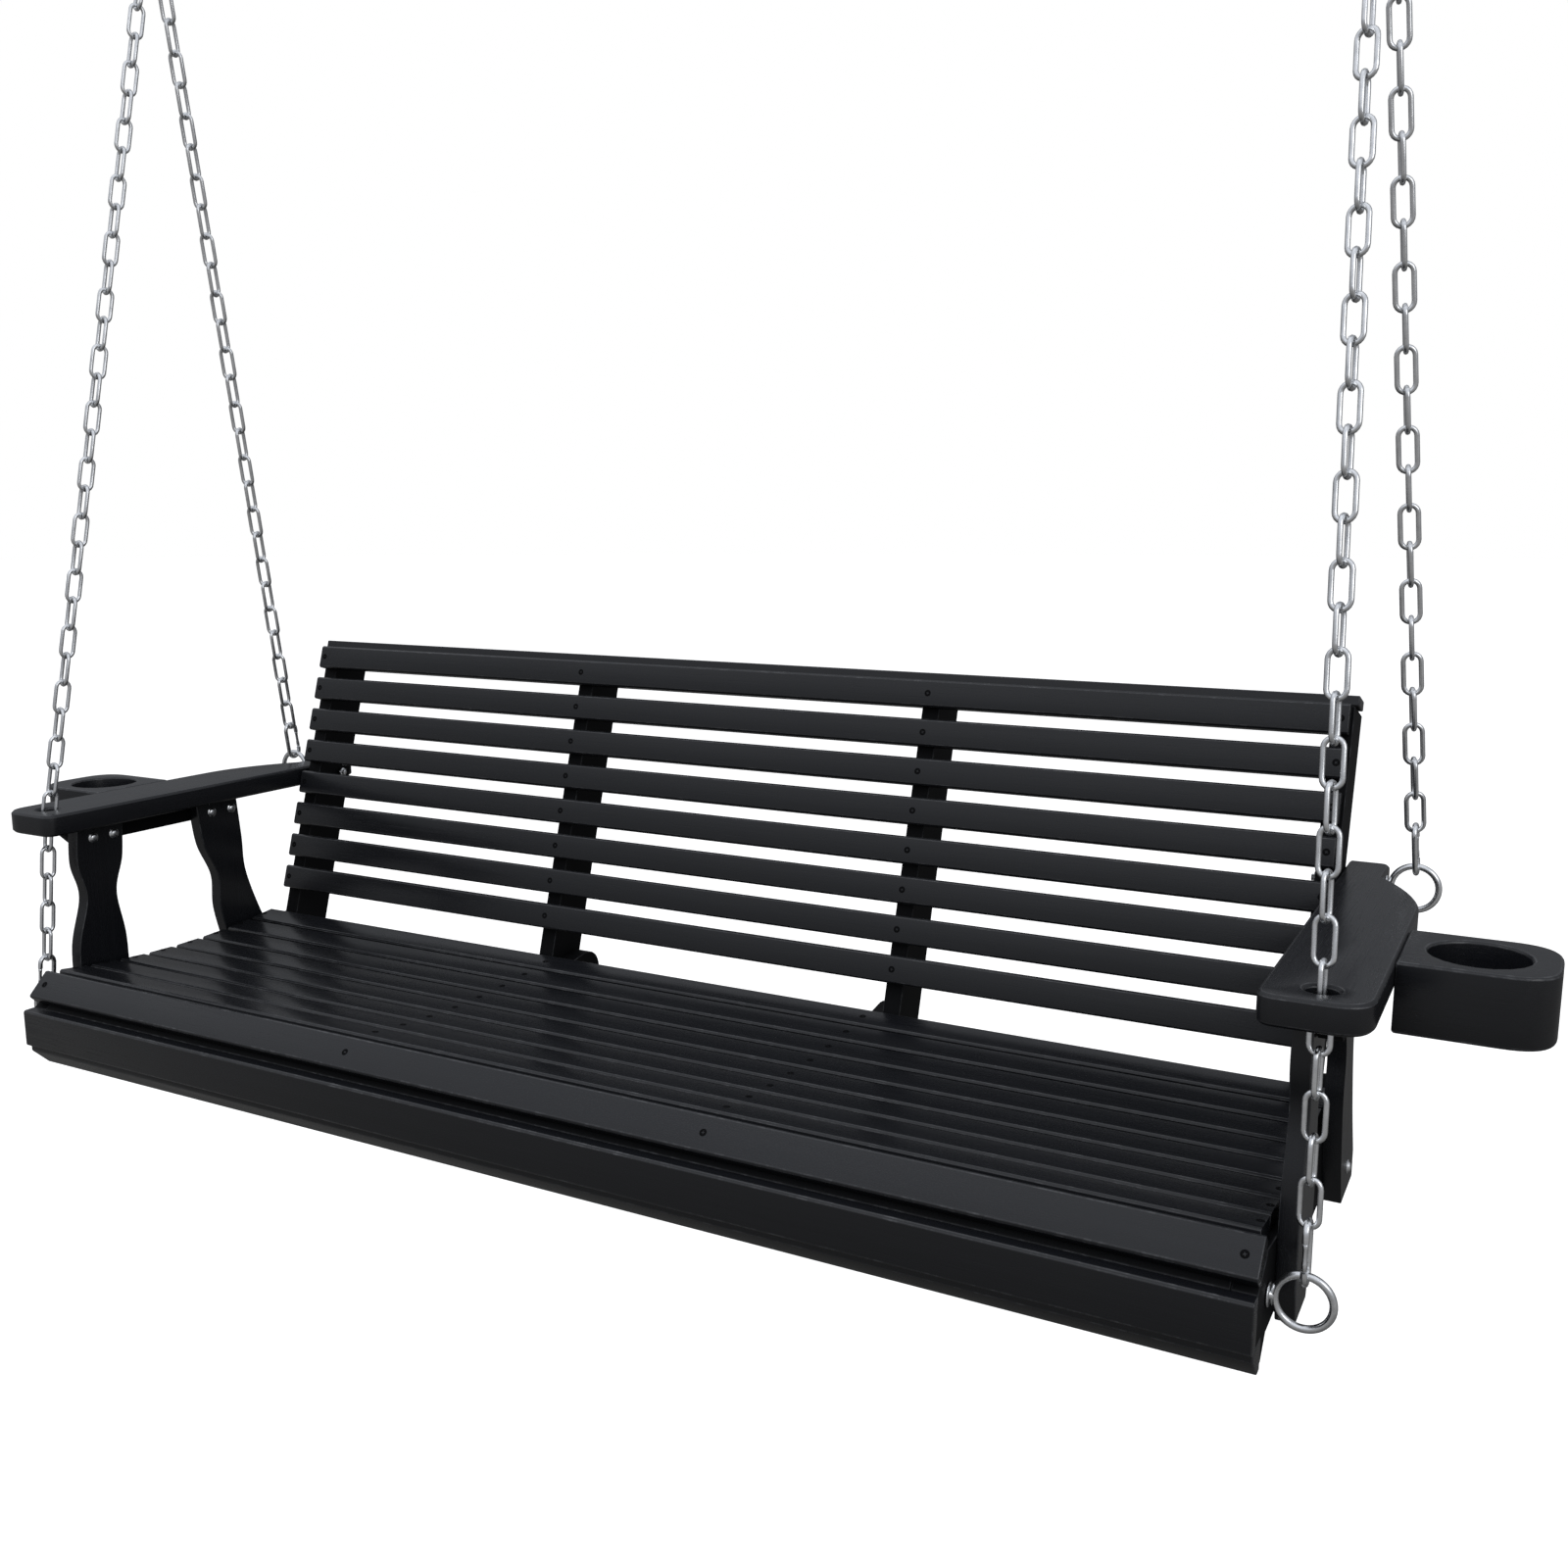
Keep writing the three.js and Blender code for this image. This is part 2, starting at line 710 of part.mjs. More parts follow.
/** Middle of an eye bolt's ring, from the face its washer sits on. */
function eyeCentre(side, faceX, y, z) {
  return v3(side * (faceX + GAP + eye.washerThickness + eye.wireRadius + eye.ringRadius), y, z);
}

/** An eye bolt with its washer and nut, its shank running inwards through the wood. */
function eyeBolt(side, faceX, innerX, y, z) {
  const centre = eyeCentre(side, faceX, y, z);
  const ring = new THREE.TorusGeometry(eye.ringRadius, eye.wireRadius, WIRE_SIDES, RING_STEPS);
  ring.rotateX(Math.PI / 2);
  ring.translate(centre.x, centre.y, centre.z);
  const washerX = faceX + GAP;
  const shankEnd = side * (washerX + eye.washerThickness + eye.wireRadius);
  const nutX = innerX - GAP;
  const nutEndX = nutX - eye.nutThickness;
  return join(
    ring,
    rodAlongX(eye.shankRadius, side * (nutEndX - eye.threadBeyondNut), shankEnd, y, z),
    rodAlongX(eye.washerRadius, side * washerX, side * (washerX + eye.washerThickness), y, z),
    rodAlongX(eye.nutRadius, side * nutEndX, side * nutX, y, z, HEXAGON),
  );
}

/** The side view of a snap hook's body: an open loop whose gap is closed by the gate. */
function snapCurve() {
  const r = snap.width / 2;
  const straight = snap.length / 2 - r;
  const curve = new THREE.CurvePath();
  const line = (y0, z0, y1, z1) => curve.add(new THREE.LineCurve3(v3(0, y0, z0), v3(0, y1, z1)));
  line(r, snap.gateTop, r, straight);
  curve.add(halfTurn(straight, 1));
  line(-r, straight, -r, -straight);
  curve.add(halfTurn(-straight, -1));
  line(r, -straight, r, snap.gateFoot - snap.hingeGap);
  return curve;
}

/** The round end of a snap hook, over the top (up = 1) or under the bottom (up = -1). */
function halfTurn(z, up) {
  const r = snap.width / 2;
  const turn = new THREE.Curve();
  turn.getPoint = (t, target = v3(0, 0, 0)) => {
    const a = Math.PI * t;
    return target.set(0, up * r * Math.cos(a), z + up * r * Math.sin(a));
  };
  return turn;
}

/** A snap hook on an eye's ring, its long axis along the chain that pulls it. */
function placeSnap(name, eyeTop, pull, gateSide) {
  const holder = new THREE.Group();
  const seatOnEye = eye.wireRadius + snap.wireRadius + GAP;
  holder.quaternion.setFromUnitVectors(v3(0, 0, 1), pull);
  holder.position.copy(eyeTop).addScaledVector(pull, snap.length / 2 - seatOnEye);
  const body = addPiece(`snap_hook_${name}`, wire(snapCurve(), snap.wireRadius, snap.steps), zinc);
  const r = snap.width / 2;
  const gateTopZ = snap.gateTop - GAP;
  const gateLength = gateTopZ - snap.gateFoot;
  const bar = new THREE.CylinderGeometry(snap.gateRadius, snap.gateRadius, gateLength, WIRE_SIDES);
  bar.rotateX(Math.PI / 2);
  bar.translate(0, r, (gateTopZ + snap.gateFoot) / 2);
  const gate = addPiece(`snap_gate_${name}`, bar, zinc);
  body.rotation.z = gateSide > 0 ? 0 : Math.PI;
  gate.rotation.z = body.rotation.z;
  holder.add(body, gate);
  swing.add(holder);
}

/** A chain run, as a plain bar of about the chain's own weight, between the top ring and a snap hook. */
function chainRun(name, top, via, eyeTop) {
  const stops = [top, ...via, eyeTop];
  const first = stops[1].clone().sub(top).normalize();
  const last = stops.at(-2).clone().sub(eyeTop).normalize();
  const overRing = hanger.ringRadius + hanger.wireRadius + chain.clearOfRing;
  const seatOnEye = eye.wireRadius + snap.wireRadius + GAP;
  const overSnap = snap.length - seatOnEye + snap.wireRadius + GAP;
  const start = top.clone().addScaledVector(first, overRing);
  const end = eyeTop.clone().addScaledVector(last, overSnap);
  const route = new THREE.CatmullRomCurve3([start, ...via, end]);
  addPiece(name, wire(route, chain.radius, via.length ? chain.bentSteps : 1), zinc);
}

/** Eye bolts, snap hooks and chains at the four corners. The front chains pass through the arms. */
function buildRigging() {
  const postInnerX = postOuterX - back.postThickness;
  for (const [side, sideName] of [[-1, 'left'], [1, 'right']]) {
    const top = ringCentre(side);
    const hole = v3(side * armHole.x, armHole.y, armHole.z);
    const corners = [
      {
        name: 'front',
        face: frameOuterX,
        inner: frameInnerX,
        y: frontEyeY,
        z: eye.frontZ,
        via: [hole],
        gate: -1,
      },
      {
        name: 'rear',
        face: armNeckX,
        inner: postInnerX,
        y: rearEyeY,
        z: rearEyeZ,
        via: [],
        gate: 1,
      },
    ];
    for (const corner of corners) {
      const name = `${corner.name}_${sideName}`;
      addPiece(`eye_bolt_${name}`, eyeBolt(side, corner.face, corner.inner, corner.y, corner.z), zinc);
      const eyeTop = eyeCentre(side, corner.face, corner.y, corner.z).add(v3(0, 0, eye.ringRadius));
      const pull = [top, ...corner.via].at(-1).clone().sub(eyeTop).normalize();
      placeSnap(name, eyeTop, pull, corner.gate);
      chainRun(`chain_${name}`, top, corner.via, eyeTop);
    }
  }
}

/** Ceiling hangers and the rings that swing on them. */
function buildHangers() {
  const ringInner = hanger.ringRadius - hanger.wireRadius;
  const barZ = hanger.ringCentreZ + ringInner - hanger.barRadius - GAP;
  const plateZ = barZ + hanger.barBelowPlate;
  for (const [side, name] of [[-1, 'left'], [1, 'right']]) {
    const centre = ringCentre(side);
    const ring = new THREE.TorusGeometry(hanger.ringRadius, hanger.wireRadius, WIRE_SIDES, RING_STEPS);
    ring.rotateY(Math.PI / 2);
    ring.translate(centre.x, centre.y, centre.z);
    addPiece(`top_ring_${name}`, ring, zinc);
    const staple = wire(
      stapleCurve(barZ, plateZ + hanger.stapleIntoPlate),
      hanger.barRadius,
      hanger.stapleSteps,
      hanger.stapleSides,
    );
    staple.translate(centre.x, centre.y, 0);
    const base = new THREE.BoxGeometry(hanger.plateLength, hanger.plateWidth, hanger.plateThickness);
    base.translate(centre.x, centre.y, plateZ + hanger.plateThickness / 2);
    const holes = [-1, 1].map((end) => {
      const hole = new THREE.CylinderGeometry(
        hanger.screwRadius,
        hanger.screwRadius,
        2 * (hanger.plateThickness + OVERRUN),
        ROD_SIDES,
      );
      hole.rotateX(Math.PI / 2);
      return hole.translate(centre.x + end * hanger.screwSpacing / 2, centre.y, plateZ);
    });
    addPiece(`ceiling_hanger_${name}`, cut(join(base, staple), ...holes), zinc);
  }
  return plateZ + hanger.plateThickness;
}

/** A U along X: down one leg, along the bar that the ring hangs on, and up the other leg. */
function stapleCurve(barZ, topZ) {
  const half = hanger.legSpacing / 2;
  const b = hanger.bend;
  const curve = new THREE.CurvePath();
  const at = (x, z) => v3(x, 0, z);
  curve.add(new THREE.LineCurve3(at(-half, topZ), at(-half, barZ + b)));
  curve.add(new THREE.QuadraticBezierCurve3(at(-half, barZ + b), at(-half, barZ), at(b - half, barZ)));
  curve.add(new THREE.LineCurve3(at(b - half, barZ), at(half - b, barZ)));
  curve.add(new THREE.QuadraticBezierCurve3(at(half - b, barZ), at(half, barZ), at(half, barZ + b)));
  curve.add(new THREE.LineCurve3(at(half, barZ + b), at(half, topZ)));
  return curve;
}

// ---------------------------------------------------------------- assembly

buildBackSlats();
buildTopCap();
buildBackPosts();
buildSeatSlats();
buildNose();
buildFrontRail();
buildFrontApron();
buildSeatFrames();
buildArms();
buildRigging();
const ceilingZ = buildHangers();

const model = new THREE.Group();
swing.position.set(0, -hanger.y, -ceilingZ);
model.add(swing);

export default model;
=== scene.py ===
"""A porch swing in satin black paint, hung on four bright welded chains, set in a pale studio."""

import logging
import math
from collections.abc import Callable, Iterable, Sequence
from dataclasses import dataclass, field
from enum import Enum
from typing import Any

import bmesh
import bpy
from mathutils import Matrix, Quaternion, Vector


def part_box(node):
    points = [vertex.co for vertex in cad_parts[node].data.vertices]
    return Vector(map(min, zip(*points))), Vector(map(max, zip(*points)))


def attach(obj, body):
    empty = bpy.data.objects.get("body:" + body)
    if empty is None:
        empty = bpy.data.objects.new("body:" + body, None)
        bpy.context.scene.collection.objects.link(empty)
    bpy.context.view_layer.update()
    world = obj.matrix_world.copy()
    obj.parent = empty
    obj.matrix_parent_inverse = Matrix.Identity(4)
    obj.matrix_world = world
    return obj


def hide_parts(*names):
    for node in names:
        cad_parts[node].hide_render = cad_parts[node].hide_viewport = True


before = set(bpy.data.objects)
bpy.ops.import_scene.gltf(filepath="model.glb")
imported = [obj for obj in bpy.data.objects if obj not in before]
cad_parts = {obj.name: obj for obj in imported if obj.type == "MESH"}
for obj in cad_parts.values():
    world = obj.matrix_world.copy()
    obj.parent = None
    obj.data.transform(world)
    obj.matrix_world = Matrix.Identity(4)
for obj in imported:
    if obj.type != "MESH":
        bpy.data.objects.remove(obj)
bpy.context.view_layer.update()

log = logging.getLogger("porch_swing")

MM = 0.001
SIDES = ("left", "right")
QUARTER = math.pi / 2
ROUND = 2 * math.pi
HALF = 0.5

Point = tuple[float, float, float]
Colour = tuple[float, float, float]
Span = tuple[float, float]
Spot = tuple[Vector, Vector]
Finish = tuple[bpy.types.Material, str]


def arc(radius: float, sweep: float, steps: int) -> list[Span]:
    """Points round an arc about 0, one more than its steps."""
    angles = [sweep * k / steps for k in range(steps + 1)]
    return [(radius * math.cos(a), radius * math.sin(a)) for a in angles]


# ------------------------------------------------------------------ node trees


class Socket:
    """The output of a node. Sums on it add Math nodes to its tree."""

    def __init__(self, tree: "Tree", output: bpy.types.NodeSocket | None) -> None:
        """Keeps the tree and the output, which an end node doesn't have."""
        self.tree = tree
        self.output = output

    def _math(
        self, operation: str, first: "Number", second: "Number" = 0.0, clamp: bool = False
    ) -> "Socket":
        """Adds one Math node, kept from 0 to 1 where clamp is set."""
        inputs = {0: first, 1: second}
        return self.tree.node("ShaderNodeMath", inputs, operation=operation, use_clamp=clamp)

    def __add__(self, other: "Number") -> "Socket":
        """Sum."""
        return self._math("ADD", self, other)

    __radd__ = __add__

    def __sub__(self, other: "Number") -> "Socket":
        """Difference."""
        return self._math("SUBTRACT", self, other)

    def __rsub__(self, other: "Number") -> "Socket":
        """Difference, with this one taken away."""
        return self._math("SUBTRACT", other, self)

    def __mul__(self, other: "Number") -> "Socket":
        """Product."""
        return self._math("MULTIPLY", self, other)

    __rmul__ = __mul__

    def __truediv__(self, other: "Number") -> "Socket":
        """Quotient."""
        return self._math("DIVIDE", self, other)

    def __mod__(self, other: "Number") -> "Socket":
        """Remainder."""
        return self._math("MODULO", self, other)

    def sine(self) -> "Socket":
        """Sine of an angle in radians."""
        return self._math("SINE", self)

    def cosine(self) -> "Socket":
        """Cosine of an angle in radians."""
        return self._math("COSINE", self)

    def size(self) -> "Socket":
        """Value without its sign."""
        return self._math("ABSOLUTE", self)

    def step(self, low: float, high: float) -> "Socket":
        """Rises evenly from 0 at low to 1 at high."""
        return self._math("MULTIPLY", self - low, 1.0 / (high - low), clamp=True)


Number = Socket | float


class Tree:
    """A node tree that is being filled."""

    def __init__(self, nodes: bpy.types.NodeTree) -> None:
        """Keeps the tree."""
        self.tree = nodes

    def node(
        self,
        kind: str,
        inputs: dict[int | str, Any] | None = None,
        output: int | str = 0,
        **settings: Any,
    ) -> Socket:
        """Adds a node, with its settings first and its inputs after.

        Args:
            kind: the node's type.
            inputs: a value or a link for each input that isn't left as it is.
            output: the output to return.
            **settings: the node's own properties. stops fills a colour ramp.

        Returns:
            One of the node's outputs.
        """
        made = self.tree.nodes.new(kind)
        for name, value in settings.items():
            if name == "stops":
                self._fill_ramp(made.color_ramp, value)
            else:
                setattr(made, name, value)
        for key, value in (inputs or {}).items():
            if isinstance(value, Socket):
                self.tree.links.new(value.output, made.inputs[key])
            else:
                made.inputs[key].default_value = value
        return Socket(self, made.outputs[output] if made.outputs else None)

    @staticmethod
    def _fill_ramp(ramp: bpy.types.ColorRamp, stops: Sequence[tuple[float, Colour]]) -> None:
        """Sets a ramp's stops.

        Args:
            ramp: the ramp, which has two stops.
            stops: the place and colour of each, two or more.
        """
        while len(ramp.elements) < len(stops):
            ramp.elements.new(1.0)
        for element, (place, colour) in zip(ramp.elements, stops):
            element.position = place
            element.color = (*colour, 1.0)

    def vector(self, x: Number, y: Number, z: Number) -> Socket:
        """Joins three values."""
        return self.node("ShaderNodeCombineXYZ", {0: x, 1: y, 2: z})

    def part(self, vector: Socket, axis: int) -> Socket:
        """One of a vector's three values."""
        return self.node("ShaderNodeSeparateXYZ", {0: vector}, axis)

    def moved(self, first: Socket, second: Socket) -> Socket:
        """Sum of two vectors."""
        return self.node("ShaderNodeVectorMath", {0: first, 1: second}, operation="ADD")


class Noise(Enum):
    """Noise in the finishes: its fineness, its finer layers and how strong those are."""

    FIBRES = (1.0, 5.0, 0.6)
    PORES = (4.3, 2.0, 0.5)
    BRUSH_MARKS = (0.23, 3.0, 0.55)
    PAINT_CLOUD = (7.0, 4.0, 0.55)
    SPECKLE = (900.0, 2.0, 0.5)
    CHIPS = (60.0, 4.0, 0.7)
    ZINC_CLOUD = (90.0, 4.0, 0.6)
    DRAWN_WIRE = (1600.0, 2.0, 0.5)


class ShaderTree(Tree):
    """A material's or the surroundings' nodes."""

    def __init__(self, owner: bpy.types.Material | bpy.types.World) -> None:
        """Empties the nodes of a material or a world.

        Args:
            owner: what the nodes belong to.
        """
        owner.use_nodes = True
        owner.node_tree.nodes.clear()
        super().__init__(owner.node_tree)

    def place(self, output: str = "Object") -> Socket:
        """Coordinates, from the object's own origin if nothing else is asked for."""
        return self.node("ShaderNodeTexCoord", output=output)

    def noise(self, coordinates: Socket, kind: Noise) -> Socket:
        """Even noise from 0 to 1."""
        inputs = zip(("Vector", "Scale", "Detail", "Roughness"), (coordinates, *kind.value))
        return self.node("ShaderNodeTexNoise", dict(inputs))

    def stretched(self, coordinates: Socket, scale: Point, turn: Point) -> Socket:
        """Coordinates that are turned and then scaled by direction."""
        turned = self.node("ShaderNodeMapping", {"Vector": coordinates, "Rotation": turn})
        return self.node("ShaderNodeMapping", {"Vector": turned, "Scale": scale})

    def blend(self, share: Number, first: "Socket | Colour", second: "Socket | Colour") -> Socket:
        """Mixes two colours.

        Args:
            share: how much of the second, from 0 to 1.
            first: a colour or a link.
            second: a colour or a link.

        Returns:
            The mixed colour.
        """
        ends = [c if isinstance(c, Socket) else (*c, 1.0) for c in (first, second)]
        inputs = {0: share, 6: ends[0], 7: ends[1]}
        return self.node("ShaderNodeMix", inputs, 2, data_type="RGBA", clamp_factor=True)

    def attribute(self, name: str) -> Socket:
        """Value that the mesh carries under a name."""
        return self.node("ShaderNodeAttribute", {}, "Fac", attribute_name=name)

    def bump(self, height: Socket, strength: float, distance: float) -> Socket:
        """Normal of a surface with small relief."""
        inputs = {"Height": height, "Strength": strength, "Distance": distance}
        return self.node("ShaderNodeBump", inputs)

    def surface(self, inputs: dict[str, Any]) -> None:
        """Ends a material in a surface with these inputs."""
        shader = self.node("ShaderNodeBsdfPrincipled", inputs)
        self.node("ShaderNodeOutputMaterial", {"Surface": shader})


class GeometryTree(Tree):
    """A Geometry Nodes tree with named inputs. It ends in Realize Instances and Set Material."""

    def __init__(self, name: str, sizes: dict[str, tuple[str, ...]]) -> None:
        """Makes the tree with its inputs.

        Args:
            name: the tree's name.
            sizes: the names of the inputs, by their type.
        """
        group = bpy.data.node_groups.new(name, "GeometryNodeTree")
        super().__init__(group)
        group.interface.new_socket("Geometry", in_out="OUTPUT", socket_type="NodeSocketGeometry")
        for kind, labels in ({"Geometry": ("Geometry",), "Material": ("Finish",)} | sizes).items():
            for label in labels:
                group.interface.new_socket(label, in_out="INPUT", socket_type="NodeSocket" + kind)
        self.entry = group.nodes.new("NodeGroupInput")

    def given(self, label: str) -> Socket:
        """One of the tree's inputs."""
        return Socket(self, self.entry.outputs[label])

    def line(self) -> Socket:
        """The mesh of edges that the tree is given, as a curve."""
        return self.node("GeometryNodeMeshToCurve", {0: self.given("Geometry")})

    def turn(self, x: Number, y: Number, z: Number) -> Socket:
        """Rotation from three angles in radians."""
        return self.node("FunctionNodeEulerToRotation", {0: self.vector(x, y, z)})

    def turned_on(self, first: Socket, second: Socket) -> Socket:
        """A rotation, and then another about the axes that it has turned."""
        inputs = {0: first, 1: second}
        return self.node("FunctionNodeRotateRotation", inputs, rotation_space="LOCAL")

    def random(self, low: float, high: float) -> Socket:
        """Seeded value, a new one for each point."""
        inputs = {2: low, 3: high, "Seed": self.given("Seed")}
        return self.node("FunctionNodeRandomValue", inputs, 1, data_type="FLOAT")

    def shape_of(self, label: str) -> Socket:
        """Shape of an object that the tree is given."""
        return self.node("GeometryNodeObjectInfo", {"Object": self.given(label)}, "Geometry")

    def copies(self, points: Socket, shape: Socket, rotation: Socket) -> Socket:
        """Copies of a shape on points."""
        inputs = {"Points": points, "Instance": shape, "Rotation": rotation}
        return self.node("GeometryNodeInstanceOnPoints", inputs)

    def noted(self, geometry: Socket, name: str, value: Socket, domain: str) -> Socket:
        """Keeps a value under a name, one for each point or for each copy."""
        inputs = {"Geometry": geometry, "Name": name, "Value": value}
        return self.node("GeometryNodeStoreNamedAttribute", inputs, domain=domain)

    def rod(self, curve: Socket, radius: Socket, sides: Socket | int) -> Socket:
        """Round wire along a curve, shaded smooth.

        Args:
            curve: the middle of the wire.
            radius: the wire's radius.
            sides: how many faces go round it.

        Returns:
            A closed mesh.
        """
        circle = {0: sides, 4: radius}
        section = self.node("GeometryNodeCurvePrimitiveCircle", circle, mode="RADIUS")
        swept = {"Curve": curve, "Profile Curve": section, "Fill Caps": True}
        solid = self.node("GeometryNodeCurveToMesh", swept)
        return self.node("GeometryNodeSetShadeSmooth", {0: solid})

    def close(self, geometry: Socket) -> "GeometryTree":
        """Ends the tree.

        Args:
            geometry: what the tree has made.

        Returns:
            The tree itself.
        """
        real = self.node("GeometryNodeRealizeInstances", {0: geometry})
        inputs = {"Geometry": real, "Material": self.given("Finish")}
        self.node("NodeGroupOutput", {0: self.node("GeometryNodeSetMaterial", inputs)})
        return self

    def grow(self, start: bpy.types.Mesh, sizes: dict[str, Any]) -> bpy.types.Mesh:
        """Runs the tree on a mesh.

        Args:
            start: the mesh that the tree begins with.
            sizes: a value for each of the tree's inputs.

        Returns:
            The result as a plain mesh.
        """
        worker = Bench.place(self.tree.name, start)
        modifier = worker.modifiers.new(self.tree.name, "NODES")
        modifier.node_group = self.tree
        sockets = self.tree.interface.items_tree
        identifiers = {s.name: s.identifier for s in sockets if s.in_out == "INPUT"}
        for label, value in sizes.items():
            modifier[identifiers[label]] = value
        bpy.context.view_layer.update()
        graph = bpy.context.evaluated_depsgraph_get()
        mesh = bpy.data.meshes.new_from_object(
            worker.evaluated_get(graph), preserve_all_data_layers=True, depsgraph=graph
        )
        worker.modifiers.remove(modifier)
        bpy.data.objects.remove(worker)
        return mesh


# ------------------------------------------------------------------ finishes


class Grain(Enum):
    """The way the fibres of a board run: how far each direction is stretched, and a turn."""

    LENGTHWISE = ((5.0, 260.0, 260.0), (0.0, 0.0, 0.0))
    FRONT_TO_BACK = ((260.0, 5.0, 260.0), (0.0, 0.0, 0.0))
    UPRIGHT = ((260.0, 260.0, 6.0), (0.0, 0.0, 0.0))
    UP_THE_BACK = ((260.0, 260.0, 6.0), (math.radians(16.75), 0.0, 0.0))


class Coat(Enum):
    """How a board is painted: film colour, colour where it is thin, roughness, refraction. PRIMED
    is a darker, duller coat, a painted shade for boards that sit in shadow.
    """

    FULL = ((0.0048, 0.0052, 0.0066), (0.0095, 0.0102, 0.0124), 0.27, 1.46)
    # painted shade: darker film and weaker shine stand in for the shadow on boards behind and under
    # the slats and arms
    PRIMED = ((0.0020, 0.0021, 0.0026), (0.0046, 0.0048, 0.0055), 0.58, 1.20)


@dataclass(frozen=True)
class BlackPaint:
    """Satin black paint, brushed on wood, with fibres that show through, worn chips at the edges,
    and a painted highlight that lightens every eased edge.
    """

    grain: Grain
    coat: Coat = Coat.FULL
    # worn chips take this colour, and so does the painted highlight along every eased edge
    worn_and_highlight: Colour = (0.085, 0.087, 0.092)
    shift_along: float = 3.0
    shift_up: float = 2.0
    own_tone: float = 0.45
    fibre_tone: float = 0.55
    pore_range: Span = (0.60, 0.74)
    thin_range: Span = (0.45, 0.85)
    thin_share: float = 0.4
    chip_range: Span = (0.50, 0.72)
    chip_wear: float = 0.8
    # painted highlight: every eased edge is lightened evenly, standing in for light catching it
    edge_highlight: float = 0.28
    fibre_gloss: float = 0.10
    cloud_gloss: float = 0.16
    pore_gloss: float = 0.10
    chip_gloss: float = 0.22
    fibre_height: float = 0.55
    pore_depth: float = 0.5
    brush_height: float = 0.5
    speckle_height: float = 0.16
    bump: float = 0.5
    relief: float = 0.15 * MM

    def make(self) -> bpy.types.Material:
        """Builds the paint.

        Returns:
            The material.
        """
        film, thin_film, satin, refraction = self.coat.value
        material = bpy.data.materials.new(f"black_{self.coat.name}_{self.grain.name}".lower())
        tree = ShaderTree(material)
        board, edge = tree.attribute("board"), tree.attribute("edge")
        own = tree.vector(board * self.shift_along, board, board * self.shift_up)
        shifted = tree.moved(tree.place(), own)
        along = tree.stretched(shifted, *self.grain.value)
        fibres = tree.noise(along, Noise.FIBRES)
        pores = tree.noise(along, Noise.PORES).step(*self.pore_range)
        brushed = tree.noise(along, Noise.BRUSH_MARKS)
        cloud = tree.noise(shifted, Noise.PAINT_CLOUD)
        speckle = tree.noise(shifted, Noise.SPECKLE)
        chipped = edge * tree.noise(shifted, Noise.CHIPS).step(*self.chip_range)
        tone = tree.blend(fibres * self.fibre_tone + board * self.own_tone, film, thin_film)
        aged = tree.blend(brushed.step(*self.thin_range) * self.thin_share, tone, thin_film)
        gloss = satin + (fibres - HALF) * self.fibre_gloss + (cloud - HALF) * self.cloud_gloss
        relief = fibres * self.fibre_height - pores * self.pore_depth + brushed * self.brush_height
        height = relief + speckle * self.speckle_height
        tree.surface(
            {
                # worn chips at the edges, plus a painted highlight along every eased edge
                "Base Color": tree.blend(
                    chipped * self.chip_wear + edge * self.edge_highlight, aged, self.worn_and_highlight
                ),
                "Roughness": gloss + pores * self.pore_gloss + chipped * self.chip_gloss,
                "Normal": tree.bump(height, self.bump, self.relief),
                "IOR": refraction,
            }
        )
        return material


class Metal(Enum):
    """The metals on the swing: colour, dull colour, roughness, and how much is dulled."""

    BRIGHT_ZINC = ((0.86, 0.87, 0.88), (0.44, 0.45, 0.46), 0.14, 0.50)
    # painted shade: the screw heads are near black with faint shine, their paint plus the shadow of
    # their recesses
    PAINTED_SCREW = ((0.0035, 0.0035, 0.0040), (0.0015, 0.0015, 0.0015), 0.55, 0.6)


@dataclass(frozen=True)
class Plating:
    """A plated or painted metal, dulled in clouds and worn bright where parts touch."""

    metal: Metal
    metallic: float = 1.0
    refraction: float = 1.45
    spangle_scale: float = 520.0
    dull_range: Span = (0.42, 0.78)
    spangle_dull: float = 0.10
    polish: float = 0.5
    cloud_gloss: float = 0.12
    fine_gloss: float = 0.05
    cloud_height: float = 0.7
    drawn_height: float = 0.3
    bump: float = 0.35
    relief: float = 0.12 * MM

    def make(self) -> bpy.types.Material:
        """Builds the finish.

        Returns:
            The material.
        """
        bright, dull, satin, dulled = self.metal.value
        material = bpy.data.materials.new(self.metal.name.lower())
        tree = ShaderTree(material)
        place = tree.place()
        cloud = tree.noise(place, Noise.ZINC_CLOUD)
        drawn = tree.noise(place, Noise.DRAWN_WIRE)
        cells = {"Vector": place, "Scale": self.spangle_scale}
        spangle = tree.node("ShaderNodeTexVoronoi", cells, "Color")
        facet = tree.node("ShaderNodeSeparateColor", {0: spangle})
        rub = tree.attribute("rub")
        patina = cloud.step(*self.dull_range) * dulled + facet * self.spangle_dull
        tarnished = tree.blend(patina, bright, dull)
        fine = facet * self.fine_gloss + drawn * self.fine_gloss - rub * self.fine_gloss
        height = cloud * self.cloud_height + drawn * self.drawn_height
        tree.surface(
            {
                "Base Color": tree.blend(rub * self.polish, tarnished, bright),
                "Roughness": satin + cloud * self.cloud_gloss + fine,
                "Metallic": self.metallic,
                "IOR": self.refraction,
                "Normal": tree.bump(height, self.bump, self.relief),
            }
        )
        return material


